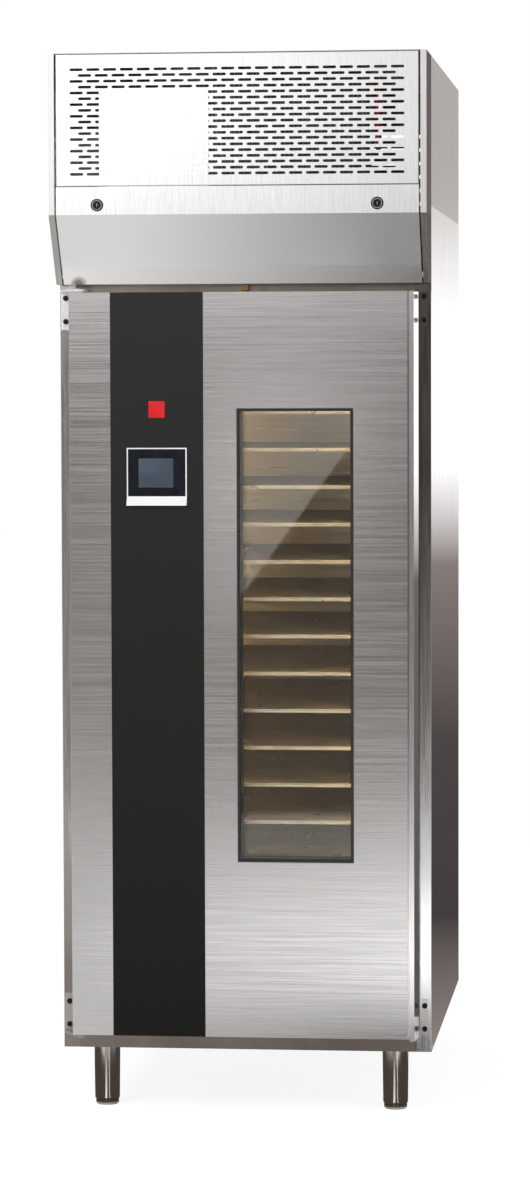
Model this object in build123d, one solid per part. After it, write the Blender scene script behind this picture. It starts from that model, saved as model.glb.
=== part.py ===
from build123d import *
import os
from math import hypot

os.makedirs("parts", exist_ok=True)

# Cabinet body, in millimetres
cabinet_width = 750
cabinet_depth = 960
leg_height = 128
wall = 60
chamber_height = 1450
plant_wall_height = 134
sheet = 1.2
liner_sheet = 1.0
fold_radius = 1.5
seam = 0.3
fit = 0.05

# Folded front edges of the side panels and the frame bars round the door opening
return_width = 32
frame_seam = 0.5
frame_bar_depth = 12

# Hood over the machine compartment
hood_height = 298
hood_overhang = 140
cheek_width = 12
cheek_gap = 3
cheek_depth = 155
lip_gap = 17
slant_height = 135
slant_setback = 95
fascia_upright = 56
panel_joint = 1

# Slotted grille
slot_length = 26.6
slot_height = 5.5
slot_pitch = 33.5
row_pitch = 11.43
first_row_height = 24
slot_top_margin = 28
slot_side_margin = 28
panel_return = 14

# Fascia flap, its pins and its two cam locks
flap_side_return = 24
flap_edge_return = 10
flap_pin_radius = 4
flap_pin_up = 14
flap_pin_in = 12
flap_pin_reach = 8
flap_boss_radius = 8
lock_side_distance = 97
lock_drop = 37
rosette_radius = 12.5
rosette_thickness = 3
lock_body_radius = 9
lock_nut_radius = 13
lock_nut_thickness = 4
plug_radius = 6
key_slot_width = 1.8
key_slot_depth = 2
tongue_length = 48
tongue_width = 12
tongue_thickness = 3
tongue_clearance = 0.5

# Door
door_thickness = 60
door_side_overlap = 30.5
door_end_overlap = 22
gasket_gap = 20
gasket_width = 12
gasket_land = 1
gasket_clearance = 0.3
groove_width = 4.5
groove_depth = 20
grip_lip_width = 8.5
grip_flare = 5.5
grip_wall = 1.5
grip_edge_radius = 1.3
grip_tail = 4
black_panel_margin = 83.5
black_panel_width = 187
black_panel_thickness = 1

# Window in the door
window_height = 896
window_side_margin = 125.5
window_panel_gap = 73
window_bottom_margin = 361
trim_width = 4
trim_bottom_width = 8
trim_proud = 1.2
glass_thickness = 5
glass_edge = 2.2
glass_clearance = 0.2
window_frame_wall = 6

# Pivot hinges
pivot_inset = 13.5
hinge_pin_radius = 5
hinge_pin_length = 25
hinge_head_radius = 8
hinge_head_height = 2
bush_wall = 3
bush_length = 28
bush_flange_radius = 13
bush_flange = 2.2
bracket_plate = 5
bracket_lug_radius = 15
bracket_shoulder = 12
bracket_leg_width = 20
bracket_leg_height = 76
bracket_leg_thickness = 3
bracket_edge_inset = 2

# Blank plates and screw heads on the front edges
blank_plate_width = 13
blank_plate_inset = 7
blank_plate_height = 71
blank_plate_corner = 8
screw_head_radius = 5.5
screw_head_height = 2.5
screw_slot_width = 1.2
screw_slot_depth = 1
screw_end_distance = 12

# Controller and badge tile on the black panel
controller_width = 120.5
controller_height = 99
controller_bottom = 1085
controller_depth = 4
controller_border = 4
controller_glass_depth = 3
controller_lip_height = 16
controller_lip_reach = 12
controller_lip_edge = 3
badge_side = 33
badge_centre_height = 1260.5
badge_thickness = 2
badge_corner = 2

# Legs and feet
leg_inset_x = 78
leg_inset_y = 70
leg_top_radius = 26.8
leg_bottom_radius = 25.4
leg_bore_radius = 18
leg_bore_depth = 50
foot_height = 10.6
foot_radius = 23.5
foot_edge = 3
foot_stem_length = 45
foot_clearance = 0.3

# Trays and their racks
tray_pitch = 75.6
first_tray_height = 101.2
tray_height = 7.5
tray_sheet = 1.5
tray_front_setback = 40
tray_rear_gap = 12
tray_side_gap = 3
top_tray_gap = 35
runner_sheet = 1.5
runner_ledge = 18
runner_lip = 8
upright_width = 25
upright_depth = 10.5
upright_end_distance = 30
upright_bottom_gap = 12
upright_top_gap = 5

# Air duct, air unit and lamps in the chamber
duct_depth = 48
duct_side_gap = 15
duct_bottom_gap = 12
duct_slot_length = 180
duct_slot_height = 8
duct_slot_half_spacing = 130
air_unit_height = 93
cover_side_gap = 0.3
cover_inlet_radius = 85
fan_centre_from_back = 240
fan_radius = 100
fan_hub_radius = 14
fan_shaft_radius = 5
fan_blade_count = 8
fan_blade_height = 38
fan_blade_thickness = 2
fan_blade_length = 40
fan_blade_middle = 77
fan_disc = 2
fan_ring_width = 20
fan_cover_gap = 13
fan_stator_gap = 5
stator_radius = 38
stator_flange_radius = 60
stator_flange = 3
evaporator_length = 540
evaporator_depth = 160
evaporator_height = 70
evaporator_plate = 10
heater_radius = 4
heater_length = 440
heater_pitch = 34
heater_drop = 38
heater_bracket = 3
heater_gap = 40
heater_fan_gap = 36
lamp_width = 12
lamp_depth = 18
lamp_end_gap = 58.5
lamp_setback = 6
drain_tube_radius = 18
drain_outer_radius = 16
drain_inner_radius = 13
drain_reach = 30
drain_flange_radius = 28
drain_flange = 1.5
drain_from_back = 200

# Machine compartment
coil_side_gap = 125
coil_width = 310
coil_depth = 62
coil_height = 220
coil_top_gap = 25
fin_count = 34
fin_groove_depth = 12
fin_share = 0.35
shroud_margin = 5
shroud_ring_radius = 104
shroud_ring_depth = 28
cooling_fan_radius = 98
cooling_fan_hub_radius = 28
cooling_fan_hub_depth = 22
cooling_fan_blade_count = 5
cooling_fan_blade_width = 46
cooling_fan_blade_thickness = 2
cooling_fan_pitch = 22
cooling_shaft_radius = 4
cooling_motor_radius = 42
cooling_motor_length = 70
cooling_motor_gap = 8
pedestal_width = 80
pedestal_thickness = 4
compressor_side_gap = 225
compressor_setback = 280
compressor_radius = 88
compressor_height = 190
compressor_dome = 45
compressor_base = 4
compressor_base_side = 210
pipe_radius = 5
pipe_bend = 15
pipe_side_offset = 21
control_box_side_gap = 79
control_box_coil_gap = 14
control_box_height = 372
control_box_depth = 170
boiler_side_gap = 175
boiler_setback = 510
boiler_radius = 65
boiler_height = 220
water_pipe_radius = 8
water_pipe_height = 40
water_thread_radius = 13.2
water_thread_length = 30
service_height = 80
service_recess = 40
gland_side_gap = 175
gland_thread_radius = 10
gland_nut_radius = 15
gland_nut_length = 12
gland_bore_radius = 6
vent_rows = 6
vent_columns = 3
vent_length = 170
vent_height = 8
vent_pitch_x = 220
vent_pitch_z = 30
switch_width = 16
switch_height = 12
switch_depth = 14
switch_lift = 4

# Planes that the pieces share
half_width = cabinet_width / 2
inner_half = half_width - sheet
back_y = (cabinet_depth + hood_overhang + rosette_thickness) / 2
frame_y = back_y - cabinet_depth
hood_y = frame_y - hood_overhang
cheek_back = hood_y + cheek_depth
liner_y = frame_y + frame_bar_depth
chamber_half = half_width - wall
chamber_back = back_y - wall
chamber_floor = leg_height + wall
chamber_ceiling = chamber_floor + chamber_height
roof_z = chamber_ceiling + wall
side_top = roof_z + plant_wall_height
hood_top_z = side_top + hood_height
frame_half = half_width - return_width - frame_seam

door_half = chamber_half + door_side_overlap
door_bottom = chamber_floor - door_end_overlap
door_top = chamber_ceiling + door_end_overlap
door_back = frame_y - gasket_gap
door_front = door_back - door_thickness
grip_left = door_half - grip_lip_width
skin_right = grip_left - groove_width
window_right = door_half - window_side_margin
window_bottom = door_bottom + window_bottom_margin
window_top = window_bottom + window_height
pivot_x = pivot_inset - door_half
pivot_y = (door_front + door_back) / 2
panel_face_y = door_front - black_panel_thickness
black_panel_left = black_panel_margin - door_half
black_panel_centre = black_panel_left + black_panel_width / 2
window_left = black_panel_left + black_panel_width + window_panel_gap

lip_z = door_top + lip_gap
lip_y = hood_y + slant_setback
bend_z = lip_z + slant_height
joint_z = bend_z + fascia_upright
flap_top = joint_z - panel_joint
panel_half = half_width - cheek_width - cheek_gap
slant_length = hypot(slant_setback, slant_height)
inward_y = slant_height / slant_length
inward_z = slant_setback / slant_length
flap_pin_y = lip_y - flap_pin_up * inward_z + flap_pin_in * inward_y
flap_pin_z = lip_z + flap_pin_up * inward_y + flap_pin_in * inward_z
lock_x = half_width - lock_side_distance
lock_z = joint_z - lock_drop
tongue_y = hood_y + panel_return + tongue_clearance

cover_z = chamber_ceiling - air_unit_height
duct_y = chamber_back - duct_depth
tray_half = chamber_half - upright_depth - runner_sheet - tray_side_gap
tray_front = frame_y + tray_front_setback
tray_back = duct_y - tray_rear_gap
first_level = chamber_floor + first_tray_height
tray_count = int((cover_z - top_tray_gap - first_level) / tray_pitch) + 1
tray_levels = [first_level + tray_pitch * n for n in range(tray_count)]
fan_y = chamber_back - fan_centre_from_back
heater_back = fan_y - fan_radius - heater_fan_gap
evaporator_back = heater_back - heater_pitch - heater_gap
coil_right = half_width - coil_side_gap
coil_left = coil_right - coil_width
coil_centre_x = (coil_left + coil_right) / 2
coil_top = hood_top_z - coil_top_gap
coil_bottom = coil_top - coil_height
coil_centre_z = (coil_bottom + coil_top) / 2
shroud_y = liner_y + seam
motor_y = shroud_y + sheet + shroud_ring_depth + cooling_motor_gap
compressor_x = half_width - compressor_side_gap
compressor_y = frame_y + compressor_setback
boiler_x = boiler_side_gap - half_width
boiler_y = frame_y + boiler_setback
gland_x = half_width - gland_side_gap
service_y = back_y - service_recess
service_z = roof_z + service_height / 2


def block(x0, x1, y0, y1, z0, z1):
    """Box between two opposite corners."""
    middle = Pos((x0 + x1) / 2, (y0 + y1) / 2, (z0 + z1) / 2)
    return middle * Box(x1 - x0, y1 - y0, z1 - z0)


def rod(start, end, radius):
    """Round bar from one point to another."""
    run = Vector(*end) - Vector(*start)
    return Solid.make_cylinder(radius, run.length, Plane(origin=start, z_dir=run))


def prism_x(points, x0, x1):
    """Outline in Y and Z, drawn out along X."""
    outline = Wire.make_polygon([Vector(x0, y, z) for y, z in points])
    return Solid.extrude(Face(outline), Vector(x1 - x0, 0, 0))


def prism_z(points, z0, z1):
    """Outline in X and Y, drawn out along Z."""
    outline = Wire.make_polygon([Vector(x, y, z0) for x, y in points])
    return Solid.extrude(Face(outline), Vector(0, 0, z1 - z0))


def ring_block(x0, x1, y0, y1, z0, z1, left, right, bottom, top):
    """Rectangular frame seen from the front, with a border of its own width on each side."""
    hole = block(x0 + left, x1 - right, y0 - 1, y1 + 1, z0 + bottom, z1 - top)
    return block(x0, x1, y0, y1, z0, z1) - hole


def pipe(points):
    """Copper pipe along straight runs joined by bends of one radius."""
    path = FilletPolyline(*points, radius=pipe_bend)
    start = Plane(origin=path @ 0, z_dir=path % 0)
    return sweep(start * Circle(pipe_radius), path=path)


def mirrored(part):
    return mirror(part, about=Plane.YZ)


def save(node, *pieces):
    solids = [solid for piece in pieces for solid in piece.solids()]
    shape = solids[0] if len(solids) == 1 else Compound(solids)
    export_step(shape, f"parts/{node}.step")


def rounded_fold(part, x, y):
    """Rounds the one upright edge that stands nearest to x, y."""
    upright = part.edges().filter_by(Axis.Z)
    nearest = min(upright, key=lambda edge: hypot(edge.center().X - x, edge.center().Y - y))
    return fillet(nearest, fold_radius)


# The cabinet body

def side_panel():
    """Right outer side with its folded front edge, which covers the foam beside the door frame."""
    panel = block(inner_half, half_width, frame_y, back_y, leg_height, side_top)
    edge = block(half_width - return_width, half_width, frame_y, frame_y + sheet, leg_height, side_top)
    return rounded_fold(panel + edge, half_width, frame_y)


def cabinet_wrap():
    """Back, roof and underside sheets between the two side panels."""
    back = block(-inner_half, inner_half, back_y - sheet, back_y, leg_height, roof_z)
    roof = block(-inner_half, inner_half, liner_y, back_y - sheet, roof_z - sheet, roof_z)
    underside = block(-inner_half, inner_half, liner_y, back_y - sheet, leg_height, leg_height + sheet)
    return back, roof, underside - drain_hole()


def drain_hole():
    y = back_y - drain_from_back
    return rod((0, y, 0), (0, y, chamber_floor), drain_tube_radius + fit)


def door_frame():
    """Two stiles, the header and the sill round the door opening."""
    y1 = liner_y
    right = block(chamber_half, frame_half, frame_y, y1, chamber_floor, chamber_ceiling)
    header = block(-frame_half, frame_half, frame_y, y1, chamber_ceiling, roof_z)
    sill = block(-frame_half, frame_half, frame_y, y1, leg_height, chamber_floor)
    return mirrored(right), right, header, sill


def insulation():
    """Foam between the outer sheets and the liner, poured round the frame bars."""
    foam = block(-inner_half, inner_half, frame_y + sheet, back_y - sheet, leg_height + sheet, roof_z - sheet)
    bars_half = half_width - return_width
    bars = block(-bars_half, bars_half, frame_y, liner_y, leg_height, roof_z)
    side = chamber_half + liner_sheet
    low = chamber_floor - liner_sheet
    high = chamber_ceiling + liner_sheet
    hollow = block(-side, side, frame_y, chamber_back + liner_sheet, low, high)
    return foam - bars - hollow - drain_hole()


def chamber_liner():
    """Five welded stainless sheets that line the proofing chamber."""
    low = chamber_floor - liner_sheet
    high = chamber_ceiling + liner_sheet
    right = block(chamber_half, chamber_half + liner_sheet, liner_y, chamber_back, low, high)
    back = block(-chamber_half - liner_sheet, chamber_half + liner_sheet,
                 chamber_back, chamber_back + liner_sheet, low, high)
    ceiling = block(-chamber_half, chamber_half, liner_y, chamber_back, chamber_ceiling, high)
    floor = block(-chamber_half, chamber_half, liner_y, chamber_back, low, chamber_floor)
    return mirrored(right), right, back, ceiling, floor - drain_hole()


def drain_outlet():
    """Floor drain: a flange in the chamber, a tube through the floor and a hose spigot below it."""
    y = back_y - drain_from_back
    spigot = rod((0, y, leg_height - drain_reach), (0, y, leg_height), drain_outer_radius)
    tube = rod((0, y, leg_height), (0, y, chamber_floor + drain_flange), drain_tube_radius)
    flange = rod((0, y, chamber_floor), (0, y, chamber_floor + drain_flange), drain_flange_radius)
    bore = rod((0, y, 0), (0, y, chamber_ceiling), drain_inner_radius)
    return spigot + tube + flange - bore


def leg_places():
    x = half_width - leg_inset_x
    for y, end in ((frame_y + leg_inset_y, "front"), (back_y - leg_inset_y, "rear")):
        yield -x, y, f"{end}_left"
        yield x, y, f"{end}_right"


def leg(x, y):
    """Slightly tapered polished tube, closed at the top and bored for its foot."""
    place = Plane(origin=(x, y, foot_height))
    body = Solid.make_cone(leg_bottom_radius, leg_top_radius, leg_height - foot_height, place)
    return body - rod((x, y, foot_height), (x, y, foot_height + leg_bore_depth), leg_bore_radius)


def foot(x, y):
    """Levelling foot: a bevelled collar on a stem that runs in the leg."""
    top = foot_height - foot_clearance
    collar = rod((x, y, 0), (x, y, top), foot_radius)
    collar = chamfer(collar.edges().group_by(Axis.Z)[0], foot_edge)
    return collar + rod((x, y, top), (x, y, top + foot_stem_length), leg_bore_radius - fit)


# Hinges, plates and screws on the front edges

def hinge_bracket(up):
    """Cranked bracket at one end of the door, up for the top one and down for the bottom one."""
    direction = 1 if up else -1
    door_end = door_top if up else door_bottom
    inner = door_end + direction * (bush_flange + seam)
    outer = inner + direction * bracket_plate
    left = bracket_edge_inset - half_width
    lug_left = pivot_x - bracket_lug_radius
    lug_right = pivot_x + bracket_lug_radius
    outline = [(left, frame_y), (left, frame_y - bracket_shoulder), (lug_left, pivot_y),
               (lug_right, pivot_y), (lug_right, frame_y)]
    low, high = sorted((inner, outer))
    plate = prism_z(outline, low, high)
    plate = plate + rod((pivot_x, pivot_y, low), (pivot_x, pivot_y, high), bracket_lug_radius)
    leg_end = inner - direction * bracket_leg_height
    leg_low, leg_high = sorted((outer, leg_end))
    upright = block(left, left + bracket_leg_width, frame_y - bracket_leg_thickness, frame_y,
                    leg_low, leg_high)
    bore = rod((pivot_x, pivot_y, low - 1), (pivot_x, pivot_y, high + 1), hinge_pin_radius + fit)
    return plate + upright - bore


def hinge_pin(up):
    """Headed pivot pin that hangs the door in its bush."""
    direction = 1 if up else -1
    door_end = door_top if up else door_bottom
    seat = door_end + direction * (bush_flange + seam + bracket_plate)
    tip = door_end - direction * hinge_pin_length
    shank = rod((pivot_x, pivot_y, tip), (pivot_x, pivot_y, seat), hinge_pin_radius)
    head_end = seat + direction * hinge_head_height
    return shank + rod((pivot_x, pivot_y, seat), (pivot_x, pivot_y, head_end), hinge_head_radius)


def hinge_bush(up):
    """Flanged sleeve in the end of the door, running on the pivot pin."""
    direction = 1 if up else -1
    door_end = door_top if up else door_bottom
    flange_face = door_end + direction * bush_flange
    inner_end = door_end - direction * bush_length
    outer_radius = hinge_pin_radius + fit + bush_wall
    sleeve = rod((pivot_x, pivot_y, inner_end), (pivot_x, pivot_y, flange_face), outer_radius)
    flange = rod((pivot_x, pivot_y, door_end), (pivot_x, pivot_y, flange_face), bush_flange_radius)
    bore = rod((pivot_x, pivot_y, inner_end - direction), (pivot_x, pivot_y, flange_face + direction),
               hinge_pin_radius + fit)
    return sleeve + flange - bore


def bush_pockets():
    """Room for both bushes in the door's shell and foam."""
    radius = hinge_pin_radius + 2 * fit + bush_wall
    upper = rod((pivot_x, pivot_y, door_top - bush_length), (pivot_x, pivot_y, door_top), radius)
    lower = rod((pivot_x, pivot_y, door_bottom), (pivot_x, pivot_y, door_bottom + bush_length), radius)
    return upper, lower


def plate_ends():
    """Outer ends of the upper and lower front plates, with the way towards the door's middle."""
    reach = bush_flange + seam
    return (door_top + reach, -1), (door_bottom - reach, 1)


def blank_plates():
    """Plates that cover the unused hinge holes on the right front edge."""
    right = half_width - blank_plate_inset
    left = right - blank_plate_width
    plates = []
    for end, inward in plate_ends():
        low, high = sorted((end, end + inward * blank_plate_height))
        plate = block(left, right, frame_y - bracket_leg_thickness, frame_y, low, high)
        corners = plate.edges().filter_by(Axis.Y)
        outer = min(corners, key=lambda edge: abs(edge.center().Z - end) + abs(edge.center().X - right))
        plates.append(fillet(outer, blank_plate_corner))
    return plates


def screw_head(x, z):
    """Slotted pan head on a front plate."""
    seat = frame_y - bracket_leg_thickness
    crown = seat - screw_head_height
    head = rod((x, seat, z), (x, crown, z), screw_head_radius)
    half_slot = screw_slot_width / 2
    slot = block(x - screw_head_radius, x + screw_head_radius, crown, crown + screw_slot_depth,
                 z - half_slot, z + half_slot)
    return head - slot


def frame_screws():
    columns = (bracket_edge_inset + bracket_leg_width / 2 - half_width,
               half_width - blank_plate_inset - blank_plate_width / 2)
    heads = []
    for x in columns:
        for end, inward in plate_ends():
            near = end + inward * screw_end_distance
            far = end + inward * (blank_plate_height - screw_end_distance)
            heads += [screw_head(x, near), screw_head(x, far)]
    return heads


# The hood

def bent_line(depth, top):
    """The hood's front line, upright and then sloping back, set in by a depth."""
    bend = bend_z + depth * (1 - inward_y) / inward_z
    return [(hood_y + depth, top), (hood_y + depth, bend),
            (lip_y + depth * inward_y, lip_z + depth * inward_z)]


def hood_cheek():
    """Right end of the hood front: a side sheet with a narrow return that follows the bent front."""
    foot = frame_y - seam
    step = side_top + seam
    outline = [(cheek_back, step), (cheek_back, hood_top_z)] + bent_line(0, hood_top_z)
    outline += [(foot, lip_z), (foot, step)]
    plate = prism_x(outline, inner_half, half_width)
    inner_x = half_width - cheek_width
    front = prism_x(bent_line(0, hood_top_z) + bent_line(sheet, hood_top_z)[::-1], inner_x, half_width)
    foot_return = block(inner_x, half_width, lip_y + sheet, foot, lip_z, lip_z + sheet)
    return plate + front + foot_return


def hood_sides():
    right = block(inner_half, half_width, cheek_back + seam, back_y, side_top + seam, hood_top_z)
    return mirrored(right), right


def hood_top():
    """Top sheet, narrower at the front where it lies between the cheeks."""
    front_half = half_width - cheek_width - seam
    wide_half = inner_half - seam
    front = block(-front_half, front_half, hood_y, hood_y + sheet + seam, hood_top_z - sheet, hood_top_z)
    rest = block(-wide_half, wide_half, hood_y + sheet + seam, back_y, hood_top_z - sheet, hood_top_z)
    return front + rest


def hood_back():
    """Rear sheet with vent slots, stepped in at the bottom for the service connections."""
    shelf = roof_z + service_height
    top = hood_top_z - sheet - seam
    outline = [(back_y, top), (back_y, shelf - sheet), (service_y + sheet, shelf - sheet),
               (service_y + sheet, roof_z), (service_y, roof_z), (service_y, shelf),
               (back_y - sheet, shelf), (back_y - sheet, top)]
    half = inner_half - seam
    sheet_part = prism_x(outline, -half, half)
    for row in range(vent_rows):
        z = (shelf + top) / 2 + (row - (vent_rows - 1) / 2) * vent_pitch_z
        for column in range(vent_columns):
            x = (column - (vent_columns - 1) / 2) * vent_pitch_x
            sheet_part = sheet_part - block(x - vent_length / 2, x + vent_length / 2, back_y - 2 * sheet,
                                            back_y + sheet, z - vent_height / 2, z + vent_height / 2)
    inside = service_y - sheet
    water = rod((boiler_x, inside, service_z), (boiler_x, back_y, service_z), water_pipe_radius + seam)
    gland = rod((gland_x, inside, service_z), (gland_x, back_y, service_z), gland_thread_radius + fit)
    return sheet_part - water - gland


def slot_outline(x, z):
    """One slot of the grille, as a closed outline on its front face."""
    left, right = x - slot_length / 2, x + slot_length / 2
    low, high = z - slot_height / 2, z + slot_height / 2
    return Wire.make_polygon([Vector(left, hood_y, low), Vector(right, hood_y, low),
                              Vector(right, hood_y, high), Vector(left, hood_y, high)])


def perforated_panel():
    """Slotted intake grille: rows of slots, every second row set over by half a pitch."""
    low, high = joint_z, hood_top_z - sheet - seam
    rows = int((high - low - first_row_height - slot_top_margin) / row_pitch) + 1
    slots_per_row = int((2 * (panel_half - slot_side_margin) - slot_length) / slot_pitch) + 1
    slots = []
    for row in range(rows):
        count = slots_per_row - row % 2
        z = low + first_row_height + row * row_pitch
        slots += [slot_outline((n - (count - 1) / 2) * slot_pitch, z) for n in range(count)]
    corners = [(-panel_half, low), (panel_half, low), (panel_half, high), (-panel_half, high)]
    border = Wire.make_polygon([Vector(x, hood_y, z) for x, z in corners])
    face = Solid.extrude(Face(border, slots), Vector(0, sheet, 0))
    folds = ring_block(-panel_half, panel_half, hood_y + sheet, hood_y + panel_return, low, high,
                       sheet, sheet, sheet, sheet)
    return face + folds


def fascia_flap():
    """Bent front sheet under the grille, folded back along all its edges, bored for pins and locks."""
    front = prism_x(bent_line(0, flap_top) + bent_line(sheet, flap_top)[::-1], -panel_half, panel_half)
    side_outline = bent_line(0, flap_top) + bent_line(flap_side_return, flap_top)[::-1]
    right = prism_x(side_outline, panel_half - sheet, panel_half)
    top = block(-panel_half, panel_half, hood_y, hood_y + flap_edge_return, flap_top - sheet, flap_top)
    hem_y, hem_z = lip_y - sheet * inward_z, lip_z + sheet * inward_y
    run_y, run_z = flap_edge_return * inward_y, flap_edge_return * inward_z
    hem = prism_x([(lip_y, lip_z), (lip_y + run_y, lip_z + run_z), (hem_y + run_y, hem_z + run_z),
                   (hem_y, hem_z)], -panel_half, panel_half)
    flap = front + right + mirrored(right) + top + hem
    flap = flap - rod((-half_width, flap_pin_y, flap_pin_z), (half_width, flap_pin_y, flap_pin_z),
                      flap_pin_radius + fit)
    for x in (-lock_x, lock_x):
        hole = rod((x, hood_y - sheet, lock_z), (x, hood_y + 2 * sheet, lock_z), lock_body_radius + fit)
        flap = flap - hole
    return flap


def flap_pin():
    """Right pivot pin of the flap, with a boss against the cheek."""
    tip = panel_half - sheet - flap_pin_reach
    pin = rod((tip, flap_pin_y, flap_pin_z), (inner_half, flap_pin_y, flap_pin_z), flap_pin_radius)
    boss_end = panel_half + seam
    boss = rod((boss_end, flap_pin_y, flap_pin_z), (inner_half, flap_pin_y, flap_pin_z), flap_boss_radius)
    return pin + boss


def lock_housing(x):
    """Round lock body with a rosette in front of the flap and a nut behind it."""
    rear = tongue_y - tongue_clearance
    face = hood_y - rosette_thickness
    rosette = rod((x, face, lock_z), (x, hood_y, lock_z), rosette_radius)
    body = rod((x, hood_y, lock_z), (x, rear, lock_z), lock_body_radius)
    nut_y = hood_y + sheet
    nut = rod((x, nut_y, lock_z), (x, nut_y + lock_nut_thickness, lock_z), lock_nut_radius)
    bore = rod((x, face - sheet, lock_z), (x, rear + sheet, lock_z), plug_radius + fit)
    return rosette + body + nut - bore


def lock_plug(x):
    """Turning cylinder with an upright key slot and a cam tongue that points to the middle."""
    face = hood_y - rosette_thickness
    back = tongue_y + tongue_thickness
    plug = rod((x, face, lock_z), (x, back, lock_z), plug_radius)
    half_slot = key_slot_width / 2
    slot = block(x - half_slot, x + half_slot, face - 1, face + key_slot_depth,
                 lock_z - plug_radius / 2, lock_z + plug_radius / 2)
    inward = -1 if x > 0 else 1
    x0, x1 = sorted((x - inward * tongue_width / 2, x + inward * tongue_length))
    tongue = block(x0, x1, tongue_y, back, lock_z - tongue_width / 2, lock_z + tongue_width / 2)
    tongue = fillet(tongue.edges().filter_by(Axis.Y), tongue_width / 4)
    return plug + tongue - slot


# Machine compartment

def condenser_coil():
    """Fin block of the condenser, with upright fins open to the grille."""
    back = shroud_y - seam
    front = back - coil_depth
    pitch = coil_width / fin_count
    outline = [(coil_right, back), (coil_left, back)]
    for n in range(fin_count):
        x = coil_left + n * pitch
        outline += [(x, front), (x + fin_share * pitch, front),
                    (x + fin_share * pitch, front + fin_groove_depth), (x + pitch, front + fin_groove_depth)]
    return prism_z(outline, coil_bottom, coil_top)


def condenser_shroud():
    """Upright sheet behind the coil with a round collar for the fan."""
    left, right = coil_left - shroud_margin, coil_right + shroud_margin
    top = coil_top + shroud_margin
    plate = block(left, right, shroud_y, shroud_y + sheet, roof_z, top)
    front = (coil_centre_x, shroud_y, coil_centre_z)
    back = (coil_centre_x, shroud_y + shroud_ring_depth, coil_centre_z)
    collar = rod(front, back, shroud_ring_radius + sheet)
    foot_fold = block(left, right, shroud_y, shroud_y + shroud_ring_depth, roof_z, roof_z + sheet)
    return plate + collar + foot_fold - rod(front, back, shroud_ring_radius)


def condenser_fan():
    """Axial fan: a hub with pitched blades, turning inside the collar."""
    y0 = shroud_y + sheet
    middle = y0 + cooling_fan_hub_depth / 2
    centre = Pos(coil_centre_x, middle, coil_centre_z)
    hub = rod((coil_centre_x, y0, coil_centre_z),
              (coil_centre_x, y0 + cooling_fan_hub_depth, coil_centre_z), cooling_fan_hub_radius)
    span = cooling_fan_radius - cooling_fan_hub_radius + sheet
    reach = cooling_fan_radius - span / 2
    blade = Box(span, cooling_fan_blade_thickness, cooling_fan_blade_width)
    blade = fillet(blade.edges().filter_by(Axis.Y).group_by(Axis.X)[-1], cooling_fan_blade_width / 3)
    fan = hub
    for n in range(cooling_fan_blade_count):
        turn = Rot(0, n * 360 / cooling_fan_blade_count, 0)
        fan = fan + centre * turn * Pos(reach, 0, 0) * Rot(cooling_fan_pitch, 0, 0) * blade
    bore = rod((coil_centre_x, y0 - sheet, coil_centre_z),
               (coil_centre_x, y0 + 2 * cooling_fan_hub_depth, coil_centre_z), cooling_shaft_radius + fit)
    return fan - bore


def condenser_motor():
    """Fan motor with its shaft, and the pedestal that carries it."""
    rear = motor_y + cooling_motor_length
    body = rod((coil_centre_x, motor_y, coil_centre_z), (coil_centre_x, rear, coil_centre_z),
               cooling_motor_radius)
    shaft = rod((coil_centre_x, shroud_y + sheet, coil_centre_z),
                (coil_centre_x, motor_y, coil_centre_z), cooling_shaft_radius)
    half = pedestal_width / 2
    pedestal = block(coil_centre_x - half, coil_centre_x + half, rear, rear + pedestal_thickness,
                     roof_z, coil_centre_z + half)
    return body + shaft, pedestal


def compressor():
    """Hermetic compressor can with a domed top, on its base plate."""
    x, y = compressor_x, compressor_y
    foot_z = roof_z + compressor_base
    can = rod((x, y, foot_z), (x, y, foot_z + compressor_height), compressor_radius)
    can = fillet(can.edges().group_by(Axis.Z)[-1], compressor_dome)
    half = compressor_base_side / 2
    return can + block(x - half, x + half, y - half, y + half, roof_z, foot_z)


def refrigerant_pipes():
    """Discharge line up beside the coil, liquid line to the roof and suction line to the compressor."""
    x, y = compressor_x, compressor_y
    offset = pipe_side_offset
    top = roof_z + compressor_base + compressor_height
    bridge_z = top + 2 * offset
    side_x = coil_right + offset
    coil_y = shroud_y - coil_depth / 2
    high = coil_top - offset
    low = coil_bottom + offset
    discharge = pipe([(x, y, top), (x, y, bridge_z), (side_x, y, bridge_z), (side_x, coil_y, bridge_z),
                      (side_x, coil_y, high), (coil_right, coil_y, high)])
    rear_y = (compressor_y + shroud_y) / 2
    liquid = pipe([(coil_right, coil_y, low), (side_x, coil_y, low), (side_x, rear_y, low),
                   (side_x, rear_y, roof_z)])
    suction_x = x - offset
    suction_y = y + compressor_base_side / 2 + 2 * offset
    suction = pipe([(suction_x, y, top), (suction_x, y, bridge_z),
                    (suction_x, suction_y, bridge_z), (suction_x, suction_y, roof_z)])
    return discharge, liquid, suction


def control_box():
    """Electrical enclosure with its front cover, standing on the roof behind the grille."""
    left = control_box_side_gap - half_width
    right = coil_left - control_box_coil_gap
    y0 = liner_y + sheet
    y1 = y0 + control_box_depth
    top = roof_z + control_box_height
    body = block(left, right, y0, y1, roof_z, top)
    body = body - block(left + sheet, right - sheet, y0, y1 - sheet, roof_z + sheet, top - sheet)
    cover = block(left, right, liner_y, y0, roof_z, top)
    return body, cover


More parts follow.
